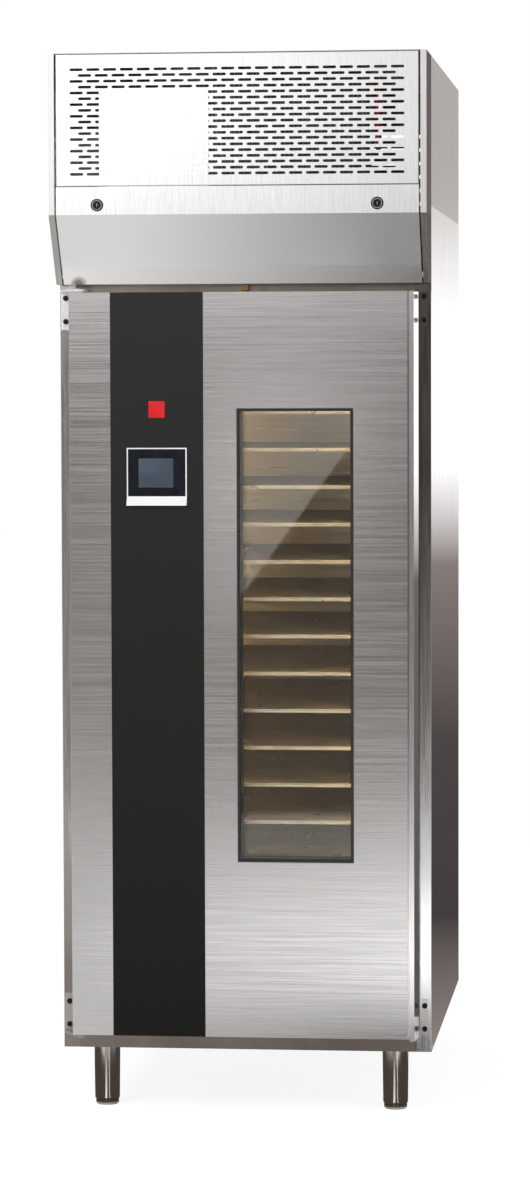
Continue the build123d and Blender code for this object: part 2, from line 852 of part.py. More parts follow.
def humidifier():
    """Steam boiler with its steam pipe into the duct and its water inlet at the rear."""
    top = roof_z + boiler_height
    can = rod((boiler_x, boiler_y, roof_z), (boiler_x, boiler_y, top), boiler_radius)
    steam_z = top + 3 * pipe_bend
    steam_y = boiler_y + boiler_radius + 3 * pipe_bend
    steam = pipe([(boiler_x, boiler_y, top - 1), (boiler_x, boiler_y, steam_z),
                  (boiler_x, steam_y, steam_z), (boiler_x, steam_y, roof_z + water_pipe_height * 2)])
    thread_start = back_y - water_thread_length
    feed = rod((boiler_x, boiler_y, service_z), (boiler_x, thread_start, service_z), water_pipe_radius)
    thread = rod((boiler_x, thread_start, service_z), (boiler_x, back_y, service_z), water_thread_radius)
    return can + steam + feed + thread


def cable_gland():
    """Mains cable gland in the recessed service plate."""
    nut_y = service_y + sheet
    inner = service_y - gland_nut_length
    outer = nut_y + gland_nut_length
    thread = rod((gland_x, inner, service_z), (gland_x, outer, service_z), gland_thread_radius)
    outer_nut = rod((gland_x, nut_y, service_z), (gland_x, outer, service_z), gland_nut_radius)
    inner_nut = rod((gland_x, inner, service_z), (gland_x, service_y, service_z), gland_nut_radius)
    bore = rod((gland_x, inner, service_z), (gland_x, outer, service_z), gland_bore_radius)
    return thread + outer_nut + inner_nut - bore


def door_switch():
    """Small door switch on the header, over the middle of the door."""
    half = switch_width / 2
    low = door_top + switch_lift
    body = block(-half, half, frame_y - switch_depth, frame_y, low, low + switch_height)
    return fillet(body.edges().filter_by(Axis.Y), switch_height / 6)


# Inside the chamber

def tray(level):
    """Baking tray whose rim is turned down all round."""
    low = level - tray_height
    inner = tray_half - tray_sheet
    body = block(-tray_half, tray_half, tray_front, tray_back, low, level)
    hollow = block(-inner, inner, tray_front + tray_sheet, tray_back - tray_sheet, low, level - tray_sheet)
    return body - hollow


def tray_rack():
    """Right rack: three uprights on the liner and an angled runner under each tray."""
    lip_x = tray_half + tray_side_gap
    wall_x = lip_x + runner_sheet
    ledge_x = wall_x - runner_ledge
    low = chamber_floor + upright_bottom_gap
    high = cover_z - upright_top_gap
    first = tray_front + upright_end_distance
    last = tray_back - upright_end_distance
    pieces = []
    for y in (first, (first + last) / 2, last):
        half = upright_width / 2
        pieces.append(block(wall_x, chamber_half, y - half, y + half, low, high))
    for level in tray_levels:
        seat = level - tray_height
        base = seat - runner_sheet
        ledge = block(ledge_x, wall_x, tray_front, tray_back, base, seat)
        lip = block(lip_x, wall_x, tray_front, tray_back, base, base + runner_lip)
        pieces.append(ledge + lip)
    return pieces


def duct_panel():
    """Rear air panel with a pair of blow slots over each tray, folded back to the liner."""
    half = chamber_half - duct_side_gap
    low = chamber_floor + duct_bottom_gap
    face = block(-half, half, duct_y, duct_y + sheet, low, cover_z)
    for level in tray_levels:
        z = level + duct_slot_height * 2
        for x in (-duct_slot_half_spacing, duct_slot_half_spacing):
            face = face - block(x - duct_slot_length / 2, x + duct_slot_length / 2, duct_y - sheet,
                                duct_y + 2 * sheet, z, z + duct_slot_height)
    right = block(half - sheet, half, duct_y, chamber_back, low, cover_z)
    return face + right + mirrored(right)


def air_unit_cover():
    """False ceiling over the trays, turned up at the front, with the fan's round inlet."""
    half = chamber_half - cover_side_gap
    plate = block(-half, half, liner_y + lamp_setback, duct_y, cover_z, cover_z + sheet)
    apron = block(-half, half, liner_y + lamp_setback, liner_y + lamp_setback + sheet, cover_z,
                  chamber_ceiling - cover_side_gap)
    inlet = rod((0, fan_y, cover_z - sheet), (0, fan_y, cover_z + 2 * sheet), cover_inlet_radius)
    return plate + apron - inlet


def circulation_motor():
    """Motor hung from the chamber ceiling, with its shaft pointing down."""
    flange_z = chamber_ceiling - stator_flange
    stator_z = cover_z + fan_cover_gap + fan_blade_height + 2 * fan_disc + fan_stator_gap
    flange = rod((0, fan_y, flange_z), (0, fan_y, chamber_ceiling), stator_flange_radius)
    stator = rod((0, fan_y, stator_z), (0, fan_y, flange_z), stator_radius)
    shaft = rod((0, fan_y, cover_z + fan_cover_gap), (0, fan_y, stator_z), fan_shaft_radius)
    return flange + stator + shaft


def circulation_fan():
    """Radial impeller: back disc, inlet ring, hub and backward-leaning blades."""
    low = cover_z + fan_cover_gap
    blade_low = low + fan_disc
    blade_high = blade_low + fan_blade_height
    disc = rod((0, fan_y, blade_high), (0, fan_y, blade_high + fan_disc), fan_radius)
    ring = rod((0, fan_y, low), (0, fan_y, blade_low), fan_radius)
    ring = ring - rod((0, fan_y, low), (0, fan_y, blade_low), fan_radius - fan_ring_width)
    hub = rod((0, fan_y, low), (0, fan_y, blade_high), fan_hub_radius)
    blade = Box(fan_blade_length, fan_blade_thickness, fan_blade_height)
    middle = Pos(0, fan_y, (blade_low + blade_high) / 2)
    fan = disc + ring + hub
    for n in range(fan_blade_count):
        turn = Rot(0, 0, n * 360 / fan_blade_count)
        lean = Rot(0, 0, 360 / fan_blade_count)
        fan = fan + middle * turn * Pos(fan_blade_middle, 0, 0) * lean * blade
    return fan - rod((0, fan_y, low), (0, fan_y, blade_high + fan_disc), fan_shaft_radius + fit)


def evaporator():
    """Cooling coil under the chamber ceiling, hung by its two end plates."""
    y0 = evaporator_back - evaporator_depth
    y1 = evaporator_back
    z0 = (cover_z + sheet + chamber_ceiling - evaporator_height) / 2
    half = evaporator_length / 2
    core = block(-half, half, y0, y1, z0, z0 + evaporator_height)
    right = block(half, half + evaporator_plate, y0, y1, z0, chamber_ceiling)
    return core + right + mirrored(right)


def heating_element():
    """Hairpin tube heater between the coil and the fan, on a bracket from the ceiling."""
    y0 = heater_back - heater_pitch
    y1 = heater_back
    z = chamber_ceiling - heater_drop
    x0, x1 = -heater_length / 2, heater_length / 2
    path = FilletPolyline((x0, y0, z), (x1, y0, z), (x1, y1, z), (x0, y1, z), radius=heater_pitch / 2 - 1)
    start = Plane(origin=path @ 0, z_dir=path % 0)
    tube = sweep(start * Circle(heater_radius), path=path)
    margin = heater_radius * 2
    bracket = block(x0 - heater_bracket, x0, y0 - margin, y1 + margin, z - margin, chamber_ceiling)
    return tube + bracket


def interior_lamps():
    """Upright lamp bars in the front corners of the chamber."""
    y0 = liner_y + lamp_setback
    right = block(chamber_half - lamp_width, chamber_half, y0, y0 + lamp_depth,
                  chamber_floor + lamp_end_gap, cover_z - lamp_end_gap)
    right = chamfer(right.edges().filter_by(Axis.Z).group_by(Axis.X)[0], lamp_width / 4)
    return mirrored(right), right


# The door

def window_block(y0, y1, edge):
    """Block that fills the window from y0 to y1, larger than the clear glass by an edge."""
    return block(window_left - edge, window_right + edge, y0, y1, window_bottom - edge, window_top + edge)


def door_skin():
    """Outer pan of the door, folded back on four sides, with the window cut out."""
    pan = block(-door_half, skin_right, door_front, door_back, door_bottom, door_top)
    pan = rounded_fold(pan, -door_half, door_front)
    inside = block(sheet - door_half, door_half, door_front + sheet, door_back + 1,
                   door_bottom + sheet, door_top - sheet)
    pan = pan - inside
    edge = block(skin_right - sheet, skin_right, door_front, door_front + groove_depth,
                 door_bottom + sheet, door_top - sheet)
    pan = pan + edge
    for pocket in bush_pockets():
        pan = pan - pocket
    return pan - window_block(door_front - 1, door_front + 2 * sheet, glass_edge + glass_clearance)


def grip_side(y):
    """Outer face of the grip, which leans out from the door's front to its back."""
    return door_half + grip_flare * (y - door_front) / door_thickness


def grip_hollow(z0, z1, inset):
    """Space inside the folded grip, between two heights, set in from its sheet."""
    front = door_front + grip_wall + inset
    floor_y = door_front + groove_depth + grip_wall + inset
    back = door_back - grip_wall - inset
    lip = grip_left + grip_wall + inset
    wall_x = grip_wall + inset
    return prism_z([(lip, front), (grip_side(front) - wall_x, front), (grip_side(back) - wall_x, back),
                    (skin_right - sheet, back), (skin_right - sheet, floor_y), (lip, floor_y)], z0, z1)


def door_grip():
    """Full-height folded edge: the lip beside the groove and the leaning side that the fingers pull."""
    floor_y = door_front + groove_depth
    low = door_bottom - grip_tail
    profile = prism_z([(grip_left, door_front), (door_half, door_front), (grip_side(door_back), door_back),
                       (skin_right, door_back), (skin_right, floor_y), (grip_left, floor_y)], low, door_top)
    upright = profile.edges().filter_by(Axis.Z)
    corner_x = grip_side(door_back)
    corner = min(upright, key=lambda e: hypot(e.center().X - corner_x, e.center().Y - door_back))
    return fillet(corner, grip_edge_radius) - grip_hollow(low - 1, door_top - sheet, 0)


def door_liner():
    """Inner sheet of the door, with the window cut out."""
    y0 = door_back - liner_sheet
    panel = block(sheet - door_half, skin_right, y0, door_back, door_bottom + sheet, door_top - sheet)
    return panel - window_block(y0 - 1, door_back + 1, 0)


def window_frame():
    """Insulating frame through the door, with a rebate for a pane at each face."""
    y0 = door_front + sheet
    y1 = door_back - liner_sheet
    frame = window_block(y0, y1, glass_edge + glass_clearance + window_frame_wall)
    frame = frame - window_block(y0 - 1, y1 + 1, 0)
    for a, b in pane_planes():
        frame = frame - window_block(a, b, glass_edge + glass_clearance)
    return frame


def pane_planes():
    """Front and back face of the outer pane and of the inner pane."""
    y0 = door_front
    y1 = door_back - liner_sheet
    return (y0, y0 + glass_thickness), (y1 - glass_thickness, y1)


def window_glass():
    return [window_block(a, b, glass_edge) for a, b in pane_planes()]


def window_trim():
    """Stainless border round the outer pane, wider along the bottom."""
    return ring_block(window_left - trim_width, window_right + trim_width,
                      door_front - trim_proud, door_front,
                      window_bottom - trim_bottom_width, window_top + trim_width,
                      trim_width, trim_width, trim_bottom_width, trim_width)


def door_insulation():
    """Foam that fills the door round the window frame and the hinge bushes."""
    y0 = door_front + sheet
    foam = block(sheet - door_half, skin_right - sheet, y0, door_back - liner_sheet,
                 door_bottom + sheet, door_top - sheet)
    foam = foam + grip_hollow(door_bottom + sheet, door_top - sheet, fit)
    for pocket in bush_pockets():
        foam = foam - pocket
    return foam - window_block(y0 - 1, door_back, glass_edge + glass_clearance + window_frame_wall)


def door_gasket():
    """Magnetic gasket on the door's inner face, closing against the frame."""
    x = chamber_half + gasket_land + gasket_width
    low = chamber_floor - gasket_land - gasket_width
    high = chamber_ceiling + gasket_land + gasket_width
    return ring_block(-x, x, door_back, frame_y - gasket_clearance, low, high,
                      gasket_width, gasket_width, gasket_width, gasket_width)


def black_panel():
    """Full-height black fascia that carries the controller."""
    return block(black_panel_left, black_panel_left + black_panel_width, panel_face_y, door_front,
                 door_bottom, door_top)


def controller_bezel():
    """Slim frame round the touch glass, with a sloping lip below."""
    half = controller_width / 2
    low = door_bottom + controller_bottom
    front = panel_face_y - controller_depth
    border = controller_border
    frame = ring_block(black_panel_centre - half, black_panel_centre + half, front, panel_face_y,
                       low, low + controller_height, border, border, border, border)
    lip = prism_x([(panel_face_y, low), (front, low), (panel_face_y - controller_lip_reach,
                   low - controller_lip_height + controller_lip_edge),
                   (panel_face_y - controller_lip_reach, low - controller_lip_height),
                   (panel_face_y, low - controller_lip_height)],
                  black_panel_centre - half, black_panel_centre + half)
    return frame + lip


def controller_glass():
    half = controller_width / 2 - controller_border
    low = door_bottom + controller_bottom + controller_border
    high = low + controller_height - 2 * controller_border
    return block(black_panel_centre - half, black_panel_centre + half,
                 panel_face_y - controller_glass_depth, panel_face_y, low, high)


def badge_tile():
    """Plain square tile."""
    half = badge_side / 2
    z = door_bottom + badge_centre_height
    tile = block(black_panel_centre - half, black_panel_centre + half,
                 panel_face_y - badge_thickness, panel_face_y, z - half, z + half)
    return fillet(tile.edges().filter_by(Axis.Y), badge_corner)


# Write every piece

side = side_panel()
save("side_panel_right", side)
save("side_panel_left", mirrored(side))
save("cabinet_wrap", *cabinet_wrap())
save("insulation", insulation())
save("chamber_liner", *chamber_liner())
save("door_frame", *door_frame())
save("drain_outlet", drain_outlet())
save("legs", *[leg(x, y) for x, y, name in leg_places()])
for x, y, name in leg_places():
    save(f"foot_{name}", foot(x, y))

save("hinge_brackets", hinge_bracket(True), hinge_bracket(False))
save("hinge_pins", hinge_pin(True), hinge_pin(False))
save("blank_plates", *blank_plates())
save("frame_screws", *frame_screws())

cheek = hood_cheek()
save("hood_cheek_right", cheek)
save("hood_cheek_left", mirrored(cheek))
save("hood_sides", *hood_sides())
save("hood_top", hood_top())
save("hood_back", hood_back())
save("perforated_panel", perforated_panel())
save("fascia_flap", fascia_flap())
save("flap_pins", mirrored(flap_pin()), flap_pin())
save("lock_housings", lock_housing(-lock_x), lock_housing(lock_x))
save("lock_plug_left", lock_plug(-lock_x))
save("lock_plug_right", lock_plug(lock_x))

save("condenser_coil", condenser_coil())
save("condenser_shroud", condenser_shroud())
save("condenser_fan", condenser_fan())
save("condenser_motor", *condenser_motor())
save("compressor", compressor())
save("refrigerant_pipes", *refrigerant_pipes())
save("control_box", *control_box())
save("humidifier", humidifier())
save("cable_gland", cable_gland())
save("door_switch", door_switch())

save("trays", *[tray(level) for level in tray_levels])
rack = tray_rack()
save("tray_rack_right", *rack)
save("tray_rack_left", *[mirrored(piece) for piece in rack])
save("duct_panel", duct_panel())
save("air_unit_cover", air_unit_cover())
save("circulation_motor", circulation_motor())
save("circulation_fan", circulation_fan())
save("evaporator", evaporator())
save("heating_element", heating_element())
save("interior_lamps", *interior_lamps())

save("door_skin", door_skin())
save("door_grip", door_grip())
save("door_liner", door_liner())
save("door_insulation", door_insulation())
save("door_gasket", door_gasket())
save("window_frame", window_frame())
save("window_glass", *window_glass())
save("window_trim", window_trim())
save("hinge_bushes", hinge_bush(True), hinge_bush(False))
save("black_panel", black_panel())
save("controller_bezel", controller_bezel())
save("controller_glass", controller_glass())
save("badge_tile", badge_tile())
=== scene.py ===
from math import pi, radians

import bmesh
import bpy
import numpy as np
from mathutils import Matrix, Vector


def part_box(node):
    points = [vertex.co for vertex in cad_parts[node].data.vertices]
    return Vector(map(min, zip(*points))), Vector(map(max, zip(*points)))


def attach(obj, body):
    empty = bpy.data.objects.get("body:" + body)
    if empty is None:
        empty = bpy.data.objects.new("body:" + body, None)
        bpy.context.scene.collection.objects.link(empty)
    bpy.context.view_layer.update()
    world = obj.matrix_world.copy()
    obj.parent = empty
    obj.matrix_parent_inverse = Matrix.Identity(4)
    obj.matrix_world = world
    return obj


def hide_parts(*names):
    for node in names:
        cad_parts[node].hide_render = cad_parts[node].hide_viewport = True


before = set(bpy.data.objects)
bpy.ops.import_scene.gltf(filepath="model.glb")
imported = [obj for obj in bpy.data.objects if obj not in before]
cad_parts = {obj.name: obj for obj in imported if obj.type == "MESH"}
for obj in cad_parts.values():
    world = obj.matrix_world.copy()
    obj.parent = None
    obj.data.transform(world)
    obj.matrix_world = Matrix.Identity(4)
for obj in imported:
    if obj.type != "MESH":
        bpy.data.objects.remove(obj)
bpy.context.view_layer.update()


# Camera
# It stands well back on the right, at about chest height, with a long lens, and is tilted down a
# little.

camera_place = Vector((0.87632, -8.24160, 1.48126))
camera_yaw, camera_pitch, camera_roll = radians(6.10), radians(-3.193), radians(-0.167)
lens_length = 117.376
sensor_width = 36
view_reach = 100

camera_data = bpy.data.cameras.new("camera")
camera_data.lens = lens_length
camera_data.sensor_width = sensor_width
camera_data.clip_end = view_reach
camera = bpy.data.objects.new("camera", camera_data)
bpy.context.scene.collection.objects.link(camera)
camera.matrix_world = (Matrix.Translation(camera_place) @ Matrix.Rotation(camera_yaw, 4, "Z")
                       @ Matrix.Rotation(pi / 2 + camera_pitch, 4, "X")
                       @ Matrix.Rotation(camera_roll, 4, "Z"))
bpy.context.scene.camera = camera


# Outer sides of the cabinet
# Ground stainless sheet, folded round the front edges and sealed to the frame. The grinding belt
# ran upright, so the grain does too, and its scratches break up every reflection.

noise_low, noise_high = 0.28, 0.72
upright_grain = (1.0, 1.0, 0.03)
fold_front = -0.4080


def material_of(name):
    """Empty material: gives the material, its node tree and its Principled shader."""
    material = bpy.data.materials.new(name)
    material.use_nodes = True
    return material, material.node_tree, material.node_tree.nodes["Principled BSDF"]


def scratches(tree, stretch, scale, detail, low=0.0, high=1.0):
    """Noise on Object coordinates, finer along the axes with a large stretch. The range in which
    nearly all of it lies is mapped to low ... high."""
    coordinates = tree.nodes.new("ShaderNodeTexCoord")
    mapping = tree.nodes.new("ShaderNodeMapping")
    mapping.inputs["Scale"].default_value = stretch
    noise = tree.nodes.new("ShaderNodeTexNoise")
    noise.inputs["Scale"].default_value = scale
    noise.inputs["Detail"].default_value = detail
    ramp = tree.nodes.new("ShaderNodeMapRange")
    ramp.inputs["From Min"].default_value = noise_low
    ramp.inputs["From Max"].default_value = noise_high
    ramp.inputs["To Min"].default_value = low
    ramp.inputs["To Max"].default_value = high
    tree.links.new(coordinates.outputs["Object"], mapping.inputs["Vector"])
    tree.links.new(mapping.outputs["Vector"], noise.inputs["Vector"])
    tree.links.new(noise.outputs["Fac"], ramp.inputs["Value"])
    return ramp.outputs["Result"]


def two_tones(tree, factor, dark, light):
    """Colour between two tones by a factor."""
    mix = tree.nodes.new("ShaderNodeMix")
    mix.data_type = "RGBA"
    mix.inputs["A"].default_value = (*dark, 1)
    mix.inputs["B"].default_value = (*light, 1)
    tree.links.new(factor, mix.inputs["Factor"])
    return mix.outputs["Result"]


def relief(tree, shader, height, strength, distance):
    """Bump on the shader's normal."""
    bump = tree.nodes.new("ShaderNodeBump")
    bump.inputs["Strength"].default_value = strength
    bump.inputs["Distance"].default_value = distance
    tree.links.new(height, bump.inputs["Height"])
    tree.links.new(bump.outputs["Normal"], shader.inputs["Normal"])


def ground_steel(name, grain, dark, light, rough, scale, depth):
    """Ground stainless sheet: short fine lines along one axis in tone and roughness, and finer
    ones in relief."""
    material, tree, shader = material_of(name)
    shader.inputs["Metallic"].default_value = 1.0
    lines = scratches(tree, grain, scale, 3.0)
    tree.links.new(two_tones(tree, lines, dark, light), shader.inputs["Base Color"])
    sheen = scratches(tree, grain, scale * 0.6, 2.0, rough[1], rough[0])
    tree.links.new(sheen, shader.inputs["Roughness"])
    relief(tree, shader, scratches(tree, grain, scale * 1.6, 4.0), depth, 0.0004)
    return material


def paint(material, *nodes):
    """Gives CAD nodes or new pieces this material in all their slots."""
    for node in nodes:
        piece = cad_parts[node] if isinstance(node, str) else node
        if not piece.data.materials:
            piece.data.materials.append(material)
        for slot in piece.material_slots:
            slot.material = material


def painted_reflection_part(material, axis, limit, low_tone, high_tone, z_low, z_high):
    """Painted reflection: gives the part that lies below a limit on one axis a tone of its own,
    which goes from low_tone at z_low to high_tone at z_high."""
    tree = material.node_tree
    tone = tree.nodes["Principled BSDF"].inputs["Base Color"]
    coordinates = tree.nodes.new("ShaderNodeTexCoord")
    split = tree.nodes.new("ShaderNodeSeparateXYZ")
    tree.links.new(coordinates.outputs["Object"], split.inputs["Vector"])
    inside = tree.nodes.new("ShaderNodeMath")
    inside.operation = "LESS_THAN"
    inside.inputs[1].default_value = limit
    tree.links.new(split.outputs[axis], inside.inputs[0])
    height = tree.nodes.new("ShaderNodeMapRange")
    height.inputs["From Min"].default_value = z_low
    height.inputs["From Max"].default_value = z_high
    tree.links.new(split.outputs["Z"], height.inputs["Value"])
    fade = two_tones(tree, height.outputs["Result"], low_tone, high_tone)
    part = tree.nodes.new("ShaderNodeMix")
    part.data_type = "RGBA"
    tree.links.new(inside.outputs["Value"], part.inputs["Factor"])
    tree.links.new(tone.links[0].from_socket, part.inputs["A"])
    tree.links.new(fade, part.inputs["B"])
    tree.links.new(part.outputs["Result"], tone)
    return material


# The folded front edges get a tone that fades over height, a painted reflection: on the right light
# at the foot and dark at the top, on the left dark at the foot and light at the top.
for side, fold_painted_low, fold_painted_high, z_low, z_high in (
        ("right", (0.70, 0.69, 0.68), (0.165, 0.14, 0.13), 0.66, 1.30),
        ("left", (0.24, 0.21, 0.19), (0.62, 0.61, 0.60), 0.30, 0.80)):
    side_steel = ground_steel("side_steel_" + side, upright_grain,
                              dark=(0.50, 0.47, 0.45), light=(0.70, 0.68, 0.67),
                              rough=(0.06, 0.20), scale=500, depth=0.10)
    paint(painted_reflection_part(side_steel, "Y", fold_front, fold_painted_low, fold_painted_high, z_low, z_high),
          "side_panel_" + side)


# Back, roof and underside sheets, door frame and drain
# Plain cold-rolled stainless, dull and slightly cloudy, left as it came from the mill. The
# frame bars are spot-welded behind the folded sides.

def rolled_steel(name, dark, light):
    """Cold-rolled stainless: soft clouds in tone and roughness with a faint rolled relief."""
    material, tree, shader = material_of(name)
    shader.inputs["Metallic"].default_value = 1.0
    clouds = scratches(tree, (1, 1, 0.5), 9.0, 5.0)
    tree.links.new(two_tones(tree, clouds, dark, light), shader.inputs["Base Color"])
    marks = scratches(tree, (1, 1, 1), 60.0, 4.0, 0.30, 0.42)
    tree.links.new(marks, shader.inputs["Roughness"])
    relief(tree, shader, scratches(tree, (1, 1, 0.1), 500.0, 3.0), 0.08, 0.0003)
    return material


mill_steel = rolled_steel("mill_steel", (0.46, 0.45, 0.44), (0.58, 0.57, 0.56))
paint(mill_steel, "cabinet_wrap", "drain_outlet", "hood_back")
# The door frame is painted a darker brown than the other sheets: painted shade under the door and
# under the hood.
frame_steel_painted_shade = rolled_steel("frame_steel_painted_shade", (0.24, 0.205, 0.175), (0.31, 0.27, 0.235))
paint(frame_steel_painted_shade, "door_frame")


# Foam insulation
# Polyurethane foamed in place between the sheets, cream and full of small closed cells. Only
# its edges could ever be seen.

cream_foam, tree, shader = material_of("cream_foam")
coordinates = tree.nodes.new("ShaderNodeTexCoord")
cells = tree.nodes.new("ShaderNodeTexVoronoi")
cells.inputs["Scale"].default_value = 700
tree.links.new(coordinates.outputs["Object"], cells.inputs["Vector"])
cell_walls = cells.outputs["Distance"]
tree.links.new(two_tones(tree, cell_walls, (0.62, 0.52, 0.30), (0.80, 0.72, 0.50)),
               shader.inputs["Base Color"])
shader.inputs["Roughness"].default_value = 0.85
relief(tree, shader, cell_walls, 0.5, 0.0006)
paint(cream_foam, "insulation", "door_insulation")


# Chamber liner, racks and air unit
# The wet room of the proofer: welded stainless sheets, folded runners screwed to uprights, and
# the false ceiling and duct that guide the air.

liner_steel = ground_steel("liner_steel", (0.03, 0.03, 1.0),
                           dark=(0.52, 0.48, 0.42), light=(0.64, 0.60, 0.54),
                           rough=(0.26, 0.38), scale=320, depth=0.05)
paint(liner_steel, "chamber_liner", "tray_rack_left", "tray_rack_right", "duct_panel",
      "air_unit_cover", "humidifier", "heating_element", "door_liner")


# Baking trays
# Seventeen pressed aluminium trays, bright from use, each with a rolled bead round its edge and
# a turned-down rim behind the bead. They rest on the racks' runners.

tray_levels = 17
tray_pitch = 0.0756
tray_bead = 0.0017
tray_corner = 0.012
tray_corner_steps = 4
tray_sheet = 0.0015
tray_dish = 0.0006
rim_setback = 0.0004


def rounded_rectangle(x0, x1, y0, y1, radius, steps):
    """Closed outline of a rectangle with quarter circles at its corners: points, and for each
    the outward direction along which the outline may grow."""
    quarter = np.linspace(0, pi / 2, steps + 1)
    points, outward = [], []
    for turn, cx, cy in ((0, x1, y1), (1, x0, y1), (2, x0, y0), (3, x1, y0)):
        angle = quarter + turn * pi / 2
        way = np.stack([np.cos(angle), np.sin(angle)], 1)
        middle = turn * pi / 2 + pi / 4
        inner = np.array([cx, cy]) - radius * np.sign([np.cos(middle), np.sin(middle)])
        points.append(inner + radius * way)
        outward.append(way)
    return np.concatenate(points), np.concatenate(outward)


def ring_faces(rings, around, close=False):
    """Quads between successive rings of equally many points, and between the last ring and the
    first if the section closes."""
    index = np.arange(rings * around).reshape(rings, around)
    below = index if close else index[:-1]
    above = np.roll(index, -1, 0) if close else index[1:]
    quads = np.stack([below, np.roll(below, -1, 1), np.roll(above, -1, 1), above], -1)
    return quads.reshape(-1, 4).tolist()


def new_piece(name, points, faces, sharp=35):
    """Smooth mesh object from arrays, merged, with its faces turned outwards and its edges kept
    sharp above an angle in degrees."""
    mesh = bpy.data.meshes.new(name)
    mesh.from_pydata(np.asarray(points).tolist(), [], faces)
    shape = bmesh.new()
    shape.from_mesh(mesh)
    bmesh.ops.remove_doubles(shape, verts=shape.verts, dist=1e-6)
    bmesh.ops.recalc_face_normals(shape, faces=shape.faces)
    shape.to_mesh(mesh)
    shape.free()
    piece = bpy.data.objects.new(name, mesh)
    bpy.context.scene.collection.objects.link(piece)
    mesh.shade_smooth()
    mesh.set_sharp_from_angle(angle=radians(sharp))
    return piece


def tray_mesh(x0, x1, y0, y1, top, bottom):
    """One tray: its outline is carried round a section of (inset, height) pairs, from the middle
    of the top over the bead, under it, down the rim and back along the underside."""
    outline, outward = rounded_rectangle(x0, x1, y0, y1, tray_corner, tray_corner_steps)
    rim = tray_bead + rim_setback
    section = [(3 * tray_bead, top - tray_dish)]
    section += [(tray_bead - tray_bead * np.cos(a), top - tray_bead + tray_bead * np.sin(a))
                for a in np.linspace(pi / 2, -pi / 2, 7)]
    section += [(rim, bottom), (rim + tray_sheet, bottom),
                (rim + tray_sheet, top - tray_dish - tray_sheet)]
    inset, height = np.array(section).T
    flat = outline[None] - inset[:, None, None] * outward[None]
    level = np.broadcast_to(height[:, None, None], flat.shape[:2] + (1,))
    points = np.concatenate([flat, level], 2).reshape(-1, 3)
    around = len(outline)
    faces = ring_faces(len(section), around)
    faces += [list(range(around)), list(range(len(points) - around, len(points)))[::-1]]
    return points, faces


def stacked(meshes):
    """Several (points, faces) as one."""
    points, faces, first = [], [], 0
    for part_points, part_faces in meshes:
        points.append(part_points)
        faces += [[first + v for v in face] for face in part_faces]
        first += len(part_points)
    return np.concatenate(points), faces


def worn_metal(name, dark, light, tone, rough, metallic=1.0, bump=None):
    """Bare metal whose tone and roughness each follow a noise of their own. Tone holds that
    noise's stretch, scale and detail, rough holds those and its least and most, and bump is the
    strength and distance of a relief on the tone's noise."""
    material, tree, shader = material_of(name)
    shader.inputs["Metallic"].default_value = metallic
    wear = scratches(tree, *tone)
    tree.links.new(two_tones(tree, wear, dark, light), shader.inputs["Base Color"])
    tree.links.new(scratches(tree, *rough), shader.inputs["Roughness"])
    if bump:
        relief(tree, shader, wear, *bump)
    return material


low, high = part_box("trays")
tray_height = high.z - low.z - (tray_levels - 1) * tray_pitch
tray_tops = [low.z + tray_height + n * tray_pitch for n in range(tray_levels)]
trays = new_piece("baking_trays", *stacked([
    tray_mesh(low.x, high.x, low.y, high.y, top, top - tray_height) for top in tray_tops]))

tray_metal = worn_metal("tray_metal", (0.66, 0.60, 0.50), (0.86, 0.81, 0.72),
                        tone=((1, 1, 1), 22.0, 5.0), rough=((1, 0.2, 1), 40.0, 3.0, 0.26, 0.40),
                        metallic=0.7)
tree = tray_metal.node_tree
relief(tree, tree.nodes["Principled BSDF"], scratches(tree, (1, 0.1, 1), 90.0, 2.0), 0.05, 0.0005)
paint(tray_metal, trays, "circulation_fan")
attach(trays, "cabinet")
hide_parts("trays")


# Interior lamps
# Frosted bars in the front corners of the chamber, with a warm light, so that the trays can be
# watched through the window.

lamp_glow = 24.0

lamp_plastic, tree, shader = material_of("lamp_plastic")
frost = scratches(tree, (1, 1, 1), 300.0, 2.0)
tree.links.new(two_tones(tree, frost, (0.90, 0.86, 0.76), (0.96, 0.93, 0.86)),
               shader.inputs["Base Color"])
shader.inputs["Roughness"].default_value = 0.5
shader.inputs["Emission Color"].default_value = (1.0, 0.76, 0.42, 1)
shader.inputs["Emission Strength"].default_value = lamp_glow
paint(lamp_plastic, "interior_lamps")


# Legs and levelling feet
# Polished stainless tube, drawn in slightly towards the floor, with a rolled lower edge. A
# stepped collar turns in each leg to level the cabinet.

leg_radius_top = 0.0268
leg_radius_low = 0.0254
leg_edge = 0.004
leg_bore = 0.0180
leg_socket = 0.05
leg_segments = 48
centre_hole = 0.0002


def turned(section, x, y, segments):
    """Solid of revolution: each (radius, height) pair of the closed section goes once round the
    upright axis through x and y, at its radius and its height."""
    radius, height = np.array(section).T
    angle = np.linspace(0, 2 * pi, segments, endpoint=False)
    points = np.stack([x + radius[:, None] * np.cos(angle), y + radius[:, None] * np.sin(angle),
                       np.broadcast_to(height[:, None], (len(radius), segments))], -1)
    return points.reshape(-1, 3), ring_faces(len(radius), segments, close=True)


low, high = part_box("legs")
leg_section = [(centre_hole, high.z), (leg_radius_top, high.z)]
leg_section += [(leg_radius_low - leg_edge + leg_edge * np.cos(a),
                 low.z + leg_edge - leg_edge * np.sin(a)) for a in np.linspace(0, pi / 2, 7)]
leg_section += [(leg_bore, low.z), (leg_bore, low.z + leg_socket), (centre_hole, low.z + leg_socket)]
leg_places = [(x, y) for x in (low.x + leg_radius_top, high.x - leg_radius_top)
              for y in (low.y + leg_radius_top, high.y - leg_radius_top)]
leg_tubes = new_piece("leg_tubes", *stacked([
    turned(leg_section, x, y, leg_segments) for x, y in leg_places]))

